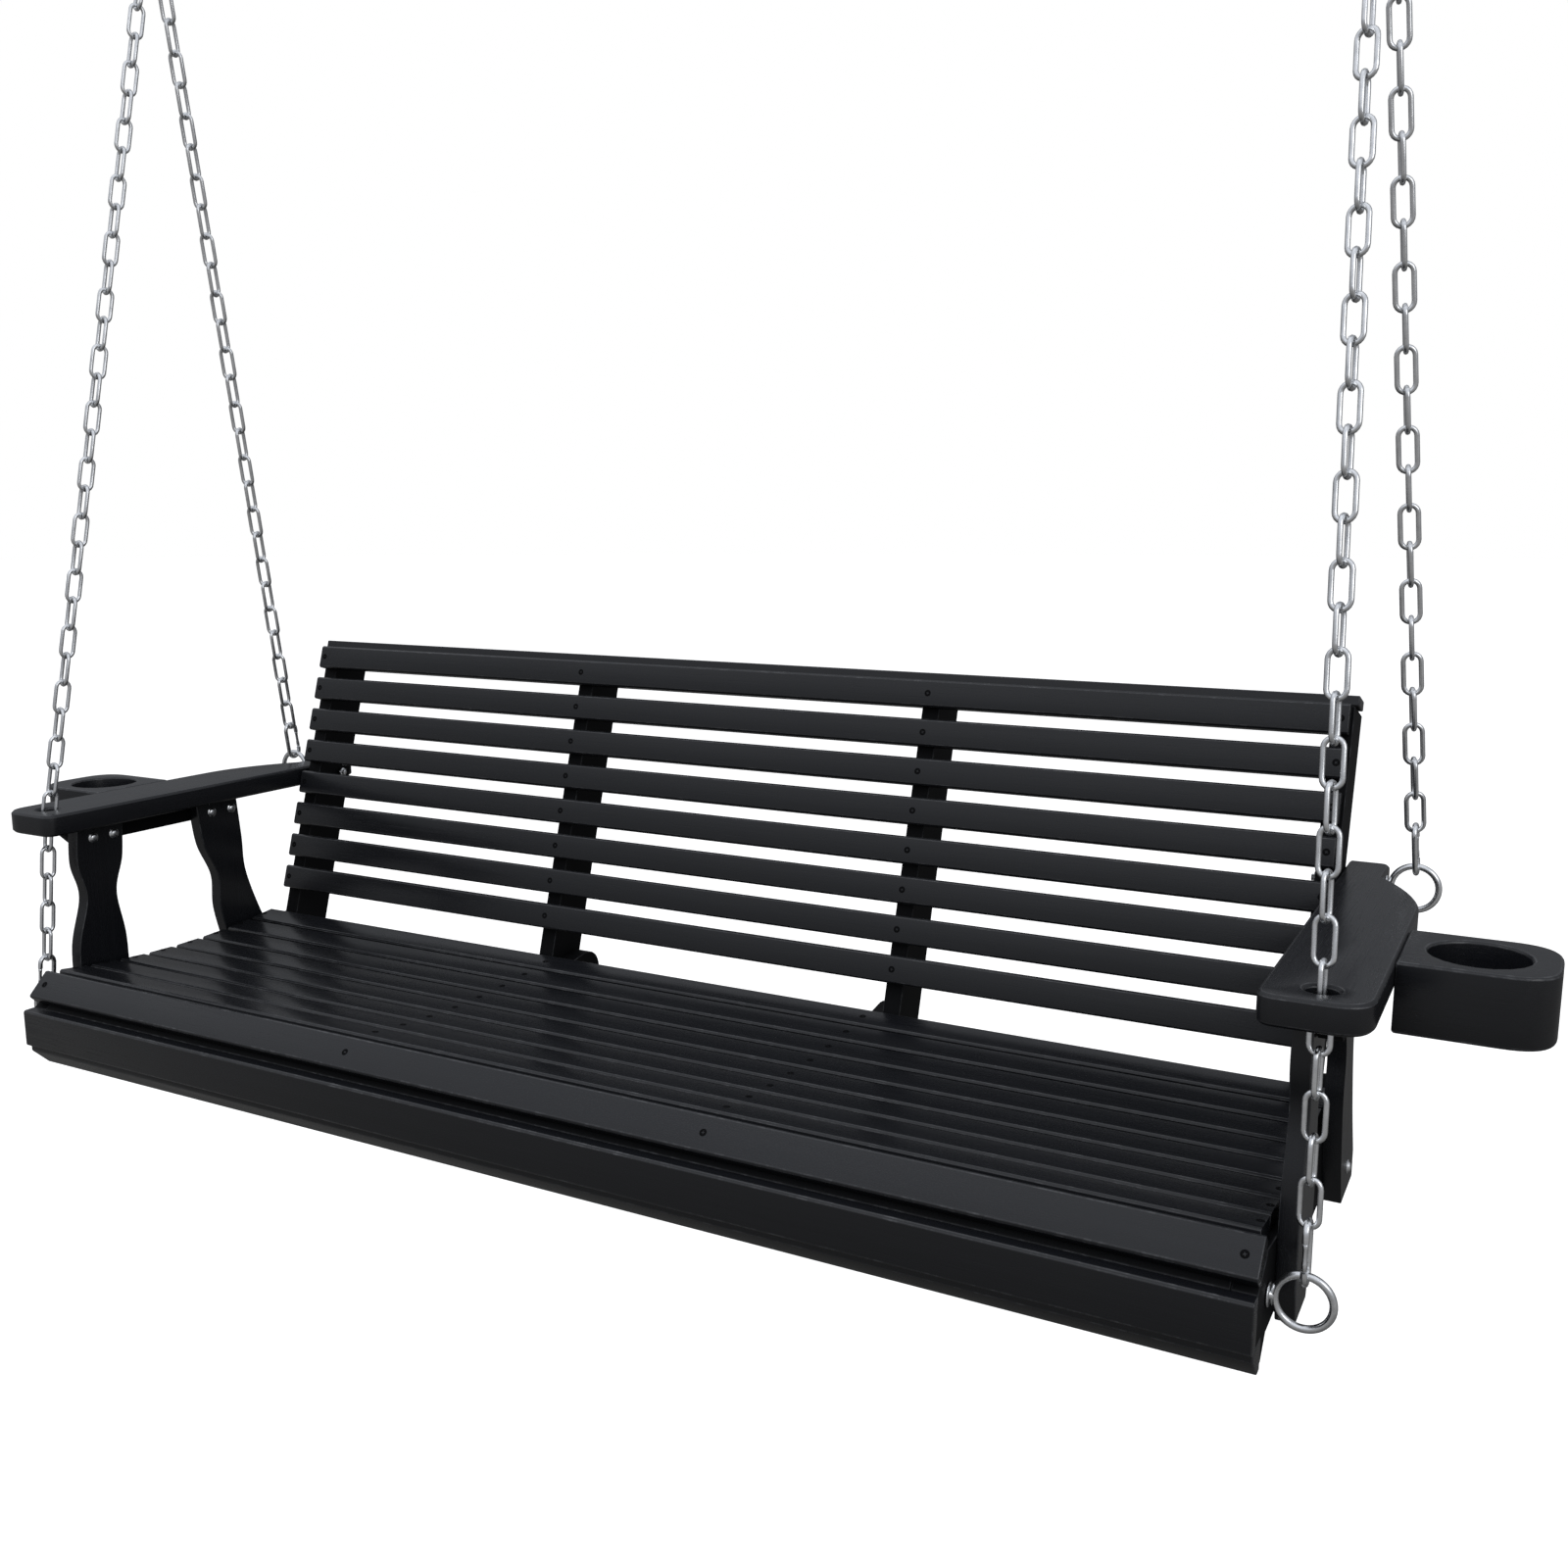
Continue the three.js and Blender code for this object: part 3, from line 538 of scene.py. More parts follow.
class Workshop:
    """Finishes that are mixed once and used by every piece, each with the record's slot for it."""

    def __init__(self) -> None:
        """Mixes the paints, the darker painted-shade coats and the plating."""
        # the second set is painted shade: the same paint, darker and duller, for boards in shadow
        self.paint, self.shade_coats = (
            {grain: (BlackPaint(grain, coat).make(), "black_paint") for grain in Grain}
            for coat in (Coat.FULL, Coat.PRIMED)
        )
        self.zinc = (Plating(Metal.BRIGHT_ZINC).make(), "zinc_steel")
        # the screw heads' finish is their paint plus a painted shade for the shadow in their
        # recesses
        screw = Plating(Metal.PAINTED_SCREW, metallic=0.0, refraction=1.15)
        self.screw = (screw.make(), "black_paint")


# ------------------------------------------------------------------ meshes


class Bench:
    """The work bench: makes meshes, eases their edges and hands finished pieces to the frame."""

    edge_limit = math.radians(25.0)
    smooth_limit = math.radians(21.0)
    flat_limit = 0.01
    weld_reach = 0.01 * MM
    ease_steps = 2
    quad = 4

    @classmethod
    def ease(cls, mesh: bmesh.types.BMesh, radius: float, tone: float = 0.0) -> bpy.types.Mesh:
        """Rounds every sharp edge, and notes on the mesh where the rounded edges are.

        Args:
            mesh: a closed mesh with sharp edges.
            radius: the size of the rounding.
            tone: the board's own shade, from 0 to 1.

        Returns:
            The finished mesh.
        """
        bmesh.ops.remove_doubles(mesh, verts=mesh.verts, dist=cls.weld_reach)
        bmesh.ops.dissolve_limit(
            mesh, angle_limit=cls.flat_limit, verts=mesh.verts, edges=mesh.edges
        )
        sharp = [e for e in mesh.edges if e.is_manifold and e.calc_face_angle(0.0) > cls.edge_limit]
        made = bmesh.ops.bevel(
            mesh,
            geom=sharp,
            offset=radius,
            segments=cls.ease_steps,
            profile=HALF,
            affect="EDGES",
            clamp_overlap=True,
        )
        rounded = set(made["faces"])
        bmesh.ops.triangulate(mesh, faces=[f for f in mesh.faces if len(f.verts) > cls.quad])
        rounded = {f for f in rounded if f.is_valid}
        edge = mesh.verts.layers.float.new("edge")
        board = mesh.verts.layers.float.new("board")
        for vert in mesh.verts:
            vert[edge] = float(all(f in rounded for f in vert.link_faces))
            vert[board] = tone
        for face in mesh.faces:
            face.smooth = True
        for line in mesh.edges:
            within = all(f in rounded for f in line.link_faces)
            line.smooth = within or line.calc_face_angle(0.0) < cls.smooth_limit
        return cls.to_mesh(mesh)

    @staticmethod
    def to_mesh(mesh: bmesh.types.BMesh) -> bpy.types.Mesh:
        """Turns a bmesh into a mesh.

        Args:
            mesh: the bmesh, which is freed.

        Returns:
            The mesh.
        """
        made = bpy.data.meshes.new("shape")
        mesh.to_mesh(made)
        mesh.free()
        return made

    @staticmethod
    def place(name: str, data: bpy.types.ID) -> bpy.types.Object:
        """Puts a mesh, a light or a camera in the scene.

        Args:
            name: the object's name.
            data: what it shows.

        Returns:
            The object.
        """
        made = bpy.data.objects.new(name, data)
        bpy.context.scene.collection.objects.link(made)
        return made

    @classmethod
    def board(cls, section: Sequence[Span], length: float, radius: float) -> bpy.types.Mesh:
        """A board along X.

        Args:
            section: the corners of its end, as (y, z), anticlockwise seen from +X.
            length: its length, with its middle at 0.
            radius: the rounding of its edges.

        Returns:
            The finished mesh.
        """
        mesh = bmesh.new()
        ends = [[mesh.verts.new((x, y, z)) for y, z in section] for x in (-length / 2, length / 2)]
        mesh.faces.new(ends[0][::-1])
        mesh.faces.new(ends[1])
        cls.skin(mesh, ends)
        return cls.ease(mesh, radius)

    @staticmethod
    def skin(mesh: bmesh.types.BMesh, rings: Sequence[list[bmesh.types.BMVert]]) -> None:
        """Joins each ring of corners to the next with a band of faces.

        Args:
            mesh: the mesh.
            rings: the rings, each with the same number of corners.
        """
        for low, high in zip(rings, rings[1:]):
            for i, first in enumerate(low):
                j = (i + 1) % len(low)
                mesh.faces.new((first, low[j], high[j], high[i]))

    @classmethod
    def stack(cls, loops: Sequence[Sequence[Point | Vector]], tips: Span) -> bmesh.types.BMesh:
        """A stack of loops about Z, closed by a fan at each end.

        Args:
            loops: the points of each loop, anticlockwise seen from above, the lowest loop first.
            tips: the heights of the fans' middles.

        Returns:
            A closed mesh.
        """
        mesh = bmesh.new()
        rings = [[mesh.verts.new(point) for point in loop] for loop in loops]
        cls.skin(mesh, rings)
        for ring, height, order in ((rings[0], tips[0], -1), (rings[-1], tips[1], 1)):
            tip = mesh.verts.new((0.0, 0.0, height))
            for first, second in zip(ring, ring[1:] + ring[:1]):
                mesh.faces.new((tip, first, second)[::order])
        return mesh

    @classmethod
    def turned(
        cls, profile: Sequence[Span], sides: int, smooth_limit: float = 0.6
    ) -> bmesh.types.BMesh:
        """A shape turned about Z.

        Args:
            profile: (radius, height) from the lower middle to the upper middle, both with radius 0.
            sides: how many faces go round.
            smooth_limit: the angle above which an edge stays crisp.

        Returns:
            A closed mesh.
        """
        loops = [[(x, y, z) for x, y in arc(r, ROUND, sides)[:-1]] for r, z in profile[1:-1]]
        mesh = cls.stack(loops, (profile[0][1], profile[-1][1]))
        for face in mesh.faces:
            face.smooth = True
        for line in mesh.edges:
            line.smooth = line.calc_face_angle(0.0) < smooth_limit
        return mesh

    @staticmethod
    def polyline(points: Iterable[Sequence[float]], closed: bool = False) -> bpy.types.Mesh:
        """A mesh of edges only, through points.

        Args:
            points: the points, in order.
            closed: whether the last is joined to the first.

        Returns:
            The mesh.
        """
        spots = [tuple(p) for p in points]
        edges = [(i, i + 1) for i in range(len(spots) - 1)]
        if closed:
            edges.append((len(spots) - 1, 0))
        made = bpy.data.meshes.new("line")
        made.from_pydata(spots, edges, [])
        return made

    @classmethod
    def joined(cls, parts: Sequence[bpy.types.Mesh]) -> bpy.types.Mesh:
        """Several meshes as one.

        Args:
            parts: the meshes.

        Returns:
            All of them in one mesh.
        """
        mesh = bmesh.new()
        for part in parts:
            mesh.from_mesh(part)
        return cls.to_mesh(mesh)

    @classmethod
    def hand_over(
        cls,
        mesh: bpy.types.Mesh,
        name: str,
        body: str,
        finish: Finish,
        stands_for: Sequence[str] = (),
    ) -> None:
        """Makes a mesh a finished piece of the swing.

        Args:
            mesh: the finished mesh, in its place.
            name: the piece's name.
            body: the body that it moves with.
            finish: its material, and the record's slot for it; the slot is not used.
            stands_for: the frame pieces that it stands for.
        """
        material, slot = finish
        mesh.materials.clear()
        mesh.materials.append(material)
        mesh.name = name
        piece = cls.place(name, mesh)
        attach(piece, body)
        log.info("%s: %d faces on %s", name, len(mesh.polygons), body)
        if stands_for:
            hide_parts(*stands_for)
            log.info("%s: box %.2f mm off the frame's", name, cls.misfit(mesh, stands_for) / MM)

    @staticmethod
    def misfit(mesh: bpy.types.Mesh, nodes: Sequence[str]) -> float:
        """Compares a mesh's box with the box of the frame pieces that it stands for.

        Args:
            mesh: the mesh.
            nodes: the frame pieces.

        Returns:
            The most that a side of one box is off the other's.
        """
        boxes = [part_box(node) for node in nodes]
        points = [v.co for v in mesh.vertices]
        return max(
            abs(pick(b[end][k] for b in boxes) - pick(p[k] for p in points))
            for end, pick in enumerate((min, max))
            for k in range(3)
        )


class PatternBook:
    """The Geometry Nodes trees that lay out slats, links, fixings and bent wire."""

    link_sides = 8
    bow_steps = 5
    bow_share = 0.497
    worn_range = (0.72, 0.95)
    ring_steps = 48

    def __init__(self) -> None:
        """Builds the four trees."""
        self.slats = self._slat_tree()
        self.links = self._link_tree()
        self.fixings = self._fixing_tree()
        self.wire = self._wire_tree()

    @staticmethod
    def _slat_tree() -> GeometryTree:
        """Slats in a row, straight or round an arc, each with its own shade.

        Returns:
            The tree.
        """
        sizes = {
            "Object": ("Slat",),
            "Int": ("Slats", "Seed"),
            "Vector": ("Arc centre", "Step"),
            "Float": ("Arc radius", "First angle", "Angle step", "Lean"),
        }
        tree = GeometryTree("slat_row", sizes)
        index = tree.node("GeometryNodeInputIndex")
        angle = tree.given("First angle") + index * tree.given("Angle step")
        radius = tree.given("Arc radius")
        on_arc = tree.vector(0.0, angle.sine() * radius, angle.cosine() * radius * -1.0)
        along = {0: tree.given("Step"), "Scale": index}
        steps = tree.node("ShaderNodeVectorMath", along, operation="SCALE")
        place = tree.moved(tree.moved(on_arc, steps), tree.given("Arc centre"))
        inputs = {"Count": tree.given("Slats"), "Position": place}
        points = tree.node("GeometryNodePoints", inputs)
        facing = tree.turn(angle + tree.given("Lean"), 0.0, 0.0)
        laid = tree.copies(points, tree.shape_of("Slat"), facing)
        return tree.close(tree.noted(laid, "board", tree.random(0.0, 1.0), "INSTANCE"))

    @classmethod
    def _link_tree(cls) -> GeometryTree:
        """Welded links along a line, each turned a quarter from the last.

        Returns:
            The tree.
        """
        sizes = ("Link length", "Link width", "Wire", "First turn", "Play")
        tree = GeometryTree("chain_links", {"Int": ("Links", "Seed"), "Float": sizes})
        length, wire = tree.given("Link length"), tree.given("Wire")
        height = tree.given("Link width") - wire
        sides = {0: length - wire, 1: height}
        loop = tree.node("GeometryNodeCurvePrimitiveQuadrilateral", sides, mode="RECTANGLE")
        bows = {"Curve": loop, "Radius": height * cls.bow_share}
        bows |= {"Limit Radius": True, "Count": cls.bow_steps}
        oval = tree.node("GeometryNodeFilletCurve", bows, mode="POLY")
        solid = tree.rod(oval, wire * HALF, cls.link_sides)
        x = tree.part(tree.node("GeometryNodeInputPosition"), 0)
        worn = (x.size() / (length * HALF)).step(*cls.worn_range)
        link = tree.noted(solid, "rub", worn, "POINT")
        run = {"Curve": tree.line(), "Count": tree.given("Links")}
        spots = tree.node("GeometryNodeResampleCurve", run)
        tangent = {"Vector": tree.node("GeometryNodeInputTangent")}
        along = tree.node("FunctionNodeAlignRotationToVector", tangent, axis="X")
        quarter = (tree.node("GeometryNodeInputIndex") % 2.0) * QUARTER
        play = tree.random(-1.0, 1.0) * tree.given("Play")
        roll = tree.turn(quarter + tree.given("First turn") + play, 0.0, 0.0)
        return tree.close(tree.copies(spots, link, tree.turned_on(along, roll)))

    @staticmethod
    def _fixing_tree() -> GeometryTree:
        """Screws or bolts on given spots, each spun to a place of its own.

        Returns:
            The tree.
        """
        tree = GeometryTree("fixings", {"Object": ("Fixing",), "Int": ("Seed",)})
        name = {"Name": "turn"}
        turn = tree.node("GeometryNodeInputNamedAttribute", name, data_type="FLOAT_VECTOR")
        facing = tree.node("FunctionNodeEulerToRotation", {0: turn})
        spun = tree.turned_on(facing, tree.turn(0.0, 0.0, tree.random(0.0, math.pi)))
        return tree.close(tree.copies(tree.given("Geometry"), tree.shape_of("Fixing"), spun))

    @staticmethod
    def _wire_tree() -> GeometryTree:
        """Round wire along a line."""
        tree = GeometryTree("bent_wire", {"Float": ("Radius",), "Int": ("Sides",)})
        return tree.close(tree.rod(tree.line(), tree.given("Radius"), tree.given("Sides")))

    def bend(
        self,
        points: Iterable[Sequence[float]],
        radius: float,
        closed: bool = False,
        sides: int = 14,
    ) -> bpy.types.Mesh:
        """Wire bent through points, its ends welded together where closed is set."""
        line = Bench.polyline(points, closed)
        return self.wire.grow(line, {"Radius": radius, "Sides": sides})

    def ring(self, centre: Vector, across: Point, radius: float, wire: float) -> bpy.types.Mesh:
        """An upright ring of welded wire.

        Args:
            centre: its middle.
            across: the level direction in its plane.
            radius: from its middle to the middle of the wire.
            wire: the wire's radius.

        Returns:
            A closed mesh.
        """
        level, up = Vector(across), Vector((0.0, 0.0, 1.0))
        circle = arc(1.0, ROUND, self.ring_steps)[:-1]
        return self.bend([centre + (level * x + up * z) * radius for x, z in circle], wire, True)

    def fix(
        self, pattern: bmesh.types.BMesh, spots: Sequence[Spot], seed: int
    ) -> bpy.types.Mesh:
        """Copies of a screw or bolt on given spots.

        Args:
            pattern: one fixing, its head facing +Z.
            spots: the place of each, and the way its head faces.
            seed: for the way each is spun.

        Returns:
            All of them as one mesh.
        """
        sample = Bench.place("pattern", Bench.to_mesh(pattern))
        cloud = bpy.data.meshes.new("spots")
        cloud.from_pydata([tuple(place) for place, _ in spots], [], [])
        turns = cloud.attributes.new("turn", "FLOAT_VECTOR", "POINT")
        for item, (_, facing) in zip(turns.data, spots):
            item.vector = facing.to_track_quat("Z", "Y").to_euler()
        made = self.fixings.grow(cloud, {"Fixing": sample, "Seed": seed})
        bpy.data.objects.remove(sample)
        return made


# ------------------------------------------------------------------ fixings


@dataclass(frozen=True)
class CrossScrew:
    """A countersunk screw with a cross recess, painted over with the wood; its finish is darker and
    duller than the paint, a painted shade for the shadow in its recess.
    """

    radius: float = 4.1 * MM
    proud: float = 0.35 * MM
    buried: float = 1.2 * MM
    arm: float = 2.2 * MM
    half_slot: float = 0.55 * MM
    slot_depth: float = 0.9 * MM
    taper: float = 0.55
    rim_angles: Point = (-15.0, 15.0, 45.0)
    neck: float = 0.72
    crown: float = 0.94
    crown_rise: float = 0.6

    def shape(self) -> bmesh.types.BMesh:
        """Builds one screw head, facing +Z.

        Returns:
            A closed mesh.
        """
        wide, slim = self.arm, self.half_slot
        cross, rim = [], []
        for quarter in range(4):
            turn = Matrix.Rotation(quarter * QUARTER, 3, "Z")
            corners = ((wide, -slim), (wide, slim), (slim, slim))
            for (x, y), degrees in zip(corners, self.rim_angles):
                cross.append(turn @ Vector((x, y, 0.0)))
                angle = math.radians(degrees)
                rim.append(turn @ Vector((math.cos(angle), math.sin(angle), 0.0)) * self.radius)
        up = Vector((0.0, 0.0, 1.0))
        floor = self.proud - self.slot_depth
        loops = [
            [p * self.neck - up * self.buried for p in rim],
            rim,
            [p * self.crown + up * self.proud * self.crown_rise for p in rim],
            [p + up * self.proud for p in cross],
            [p * self.taper + up * floor for p in cross],
        ]
        return Bench.stack(loops, (-self.buried, floor))


@dataclass(frozen=True)
class DomedBolt:
    """A domed bolt head on a thin washer."""

    radius: float = 5.6 * MM
    height: float = 3.4 * MM
    washer: float = 7.4 * MM
    washer_height: float = 0.9 * MM
    buried: float = 0.2 * MM
    steps: int = 5
    sides: int = 20

    def shape(self) -> bmesh.types.BMesh:
        """Builds one bolt head, facing +Z.

        Returns:
            A closed mesh.
        """
        base, seat = -self.buried, self.washer_height
        dome = arc(1.0, QUARTER, self.steps)[:-1]
        profile = [(0.0, base), (self.washer, base), (self.washer, seat)]
        profile += [(self.radius * x, seat + self.height * z) for x, z in dome]
        profile.append((0.0, seat + self.height))
        return Bench.turned(profile, self.sides)


@dataclass(frozen=True)
class Disc:
    """A washer or a nut, with both rims chamfered: inset across and lift along its axis."""

    radius: float
    thickness: float
    inset: float
    lift: float
    sides: int
    smooth_limit: float

    def shape(self) -> bmesh.types.BMesh:
        """Builds it, standing on its flat face.

        Returns:
            A closed mesh.
        """
        r, t, flat = self.radius, self.thickness, self.radius * self.inset
        lower = [(0.0, 0.0), (flat, 0.0), (r, t * self.lift)]
        upper = [(r, t * (1.0 - self.lift)), (flat, t), (0.0, t)]
        return Bench.turned(lower + upper, self.sides, self.smooth_limit)


# ------------------------------------------------------------------ sub-assemblies


@dataclass
class Carpentry:
    """Boards that are cut to the frame's own shapes, with eased edges, and painted; boards that sit
    in shadow get a darker coat as painted shade.
    """

    workshop: Workshop
    ease: float = 1.3 * MM
    tone_step: float = 0.618
    # boards deep behind and under the slats and arms, which get the painted-shade coat
    shaded_kinds: tuple[str, ...] = ("back_post", "seat_frame", "front_apron", "arm_cleat")
    boards: dict[Grain, tuple[str, ...]] = field(
        default_factory=lambda: {
            Grain.LENGTHWISE: ("top_cap", "nose_slat", "front_", "cup_holder"),
            Grain.FRONT_TO_BACK: ("seat_frame", "armrest", "arm_cleat"),
            Grain.UPRIGHT: ("arm_post",),
            Grain.UP_THE_BACK: ("back_post",),
        }
    )

    def build(self) -> None:
        """Cuts, eases and paints every single board."""
        kinds = {kind: grain for grain, group in self.boards.items() for kind in group}
        nodes = sorted(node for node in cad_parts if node.startswith(tuple(kinds)))
        for number, node in enumerate(nodes):
            grain = next(grain for kind, grain in kinds.items() if node.startswith(kind))
            shape = bmesh.new()
            shape.from_mesh(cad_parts[node].data)
            mesh = Bench.ease(shape, self.ease, (number * self.tone_step) % 1.0)
            # painted shade: boards that sit in shadow get the darker, duller coat
            coats = self.workshop.shade_coats if node.startswith(self.shaded_kinds) else self.workshop.paint
            Bench.hand_over(mesh, f"{node}_board", "swing", coats[grain], [node])


@dataclass
class SlatRows:
    """The back slats, in one leaning plane, and the seat slats, round a shallow hollow."""

    workshop: Workshop
    patterns: PatternBook
    thickness: float = 16.0 * MM
    chamfer: float = 2.2 * MM
    ease: float = 0.8 * MM
    count: int = 8
    back_length: float = 1500.0 * MM
    back_width: float = 33.6 * MM
    back_pitch: float = 48.6 * MM
    back_foot: Point = (0.0, 122.9 * MM, -1381.7 * MM)
    back_tilt: float = math.radians(16.75)
    back_seed: int = 11
    seat_length: float = 1538.6 * MM
    seat_width: float = 40.5 * MM
    seat_pitch: float = 46.5 * MM
    seat_seed: int = 23
    hollow_centre: Point = (0.0, -55.224 * MM, -178.7 * MM)
    hollow_radius: float = 1250.0 * MM
    hollow_from_rear: float = 172.0 * MM

    def _lay(self, name: str, length: float, width: float, sizes: dict[str, Any]) -> None:
        """Makes a slat, its face up and its lower edge along X, lays out a row and hands it over.

        Args:
            name: the name of the row's slats in the frame.
            length: a slat's length, along X.
            width: a slat's width, along Y.
            sizes: how the row is laid.
        """
        foot, cut = -self.thickness, self.chamfer
        section = [(0.0, foot), (width, foot), (width, -cut), (width - cut, 0.0), (cut, 0.0)]
        section.append((0.0, -cut))
        slat = Bench.place("slat", Bench.board(section, length, self.ease))
        finish = self.workshop.paint[Grain.LENGTHWISE]
        given = {"Slat": slat, "Slats": self.count, "Finish": finish[0]}
        mesh = self.patterns.slats.grow(bpy.data.meshes.new(name), sizes | given)
        bpy.data.objects.remove(slat)
        nodes = [f"{name}_{i + 1}" for i in range(self.count)]
        Bench.hand_over(mesh, name + "s", "swing", finish, nodes)

    def _seat_angle(self, reach: float) -> float:
        """Angle round the hollow at a distance from the front of the seat.

        Args:
            reach: the distance, along the slats' faces.

        Returns:
            The angle in radians, 0 at the lowest point of the hollow.
        """
        depth = (self.count - 1) * self.seat_pitch + self.seat_width
        rear = math.asin(self.hollow_from_rear / self.hollow_radius)
        return rear - (depth - reach) / self.hollow_radius

    def build(self) -> None:
        """Lays both rows."""
        rise, run = math.cos(self.back_tilt), math.sin(self.back_tilt)
        back = {
            "Arc centre": self.back_foot,
            "First angle": QUARTER - self.back_tilt,
            "Step": (0.0, self.back_pitch * run, self.back_pitch * rise),
            "Seed": self.back_seed,
        }
        self._lay("back_slat", self.back_length, self.back_width, back)
        seat = {
            "Arc centre": self.hollow_centre,
            "Arc radius": self.hollow_radius,
            "First angle": self._seat_angle(0.0),
            "Angle step": self.seat_pitch / self.hollow_radius,
            "Lean": self.seat_width / 2 / self.hollow_radius,
            "Seed": self.seat_seed,
        }
        self._lay("seat_slat", self.seat_length, self.seat_width, seat)

    def back_spot(self, number: int) -> Spot:
        """Middle of a back slat's face.

        Args:
            number: the slat's number, from 0 at the foot.

        Returns:
            The place and the way the face looks.
        """
        rise, run = math.cos(self.back_tilt), math.sin(self.back_tilt)
        reach = number * self.back_pitch + self.back_width / 2
        place = Vector(self.back_foot) + Vector((0.0, run, rise)) * reach
        return place, Vector((0.0, -rise, run))

    def seat_spot(self, number: int) -> Spot:
        """Middle of a seat slat's face.

        Args:
            number: the slat's number, from 0 at the front.

        Returns:
            The place and the way the face looks.
        """
        angle = self._seat_angle(number * self.seat_pitch + self.seat_width / 2)
        facing = Vector((0.0, -math.sin(angle), math.cos(angle)))
        sag = self.hollow_radius * math.cos(self.seat_width / 2 / self.hollow_radius)
        return Vector(self.hollow_centre) - facing * sag, facing

    def crossings(self, board: str, spot: Callable[[int], Spot]) -> list[Spot]:
        """Where a row of slats is screwed to the boards that carry it.

        Args:
            board: the boards' kind.
            spot: gives the middle of a slat's face by its number.

        Returns:
            The place and facing of each screw.
        """
        spots = []
        for row in ("end", "mid"):
            for side in SIDES:
                low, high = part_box(f"{board}_{row}_{side}")
                for place, facing in map(spot, range(self.count)):
                    place.x = (low.x + high.x) / 2
                    spots.append((place, facing))
        return spots


@dataclass
class Fixings:
    """Screws in the slats and bolts in the arm posts."""

    workshop: Workshop
    patterns: PatternBook
    slats: SlatRows
    nose_spots: tuple[float, ...] = (-762.0 * MM, -238.0 * MM, 238.0 * MM, 762.0 * MM)
    head_drop: float = 16.4 * MM
    head_bolts: Span = (-176.0 * MM, -144.0 * MM)
    rear_head_bolts: Span = (22.0 * MM, 58.0 * MM)
    foot_height: float = -1491.0 * MM
    foot_bolt: float = -170.0 * MM
    rear_foot_bolt: float = 95.0 * MM
    seeds: tuple[int, ...] = (3, 5, 7, 9)

    def _nose(self) -> list[Spot]:
        """Screws in the sloped slat.

        Returns:
            The place and facing of each.
        """
        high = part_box("nose_slat")[1]
        slope = math.sqrt(HALF)
        across = self.slats.seat_width * slope / 2
        y = high.y - self.slats.thickness * slope - across
        z = high.z + self.slats.chamfer * slope - across
        return [(Vector((x, y, z)), Vector((0.0, -slope, slope))) for x in self.nose_spots]

    def _bolts(self, front: Sequence[float], rear: Sequence[float], foot: bool) -> list[Spot]:
        """Bolts in the arm posts, at the head on the inner face or at the foot on the outer one.

        Args:
            front: how far back each bolt of a front post is.
            rear: how far back each bolt of a rear post is.
            foot: whether they are the bolts of the foot.

        Returns:
            The place and facing of each.
        """
        spots = []
        for side in SIDES:
            for row, places in (("front", front), ("rear", rear)):
                low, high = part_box(f"arm_post_{row}_{side}")
                looks_right = foot == (side == "right")
                x = high.x if looks_right else low.x
                z = self.foot_height if foot else high.z - self.head_drop
                facing = Vector((1.0 if looks_right else -1.0, 0.0, 0.0))
                spots += [(Vector((x, y, z)), facing) for y in places]
        return spots

    def build(self) -> None:
        """Drives every screw and bolt."""
        slats, screw = self.slats, self.workshop.screw
        back = slats.crossings("back_post", slats.back_spot)
        seat = slats.crossings("seat_frame", slats.seat_spot)
        rows = (("back_screws", back), ("seat_screws", seat), ("nose_screws", self._nose()))
        for (name, spots), seed in zip(rows, self.seeds):
            mesh = self.patterns.fix(CrossScrew().shape(), spots, seed)
            Bench.hand_over(mesh, name, "swing", screw)
        heads = self._bolts(self.head_bolts, self.rear_head_bolts, False)
        feet = self._bolts((self.foot_bolt,), (self.rear_foot_bolt,), True)
        for name, spots in (("arm_post_bolts", heads), ("post_foot_bolts", feet)):
            mesh = self.patterns.fix(DomedBolt().shape(), spots, self.seeds[-1])
            Bench.hand_over(mesh, name, "swing", self.workshop.zinc)


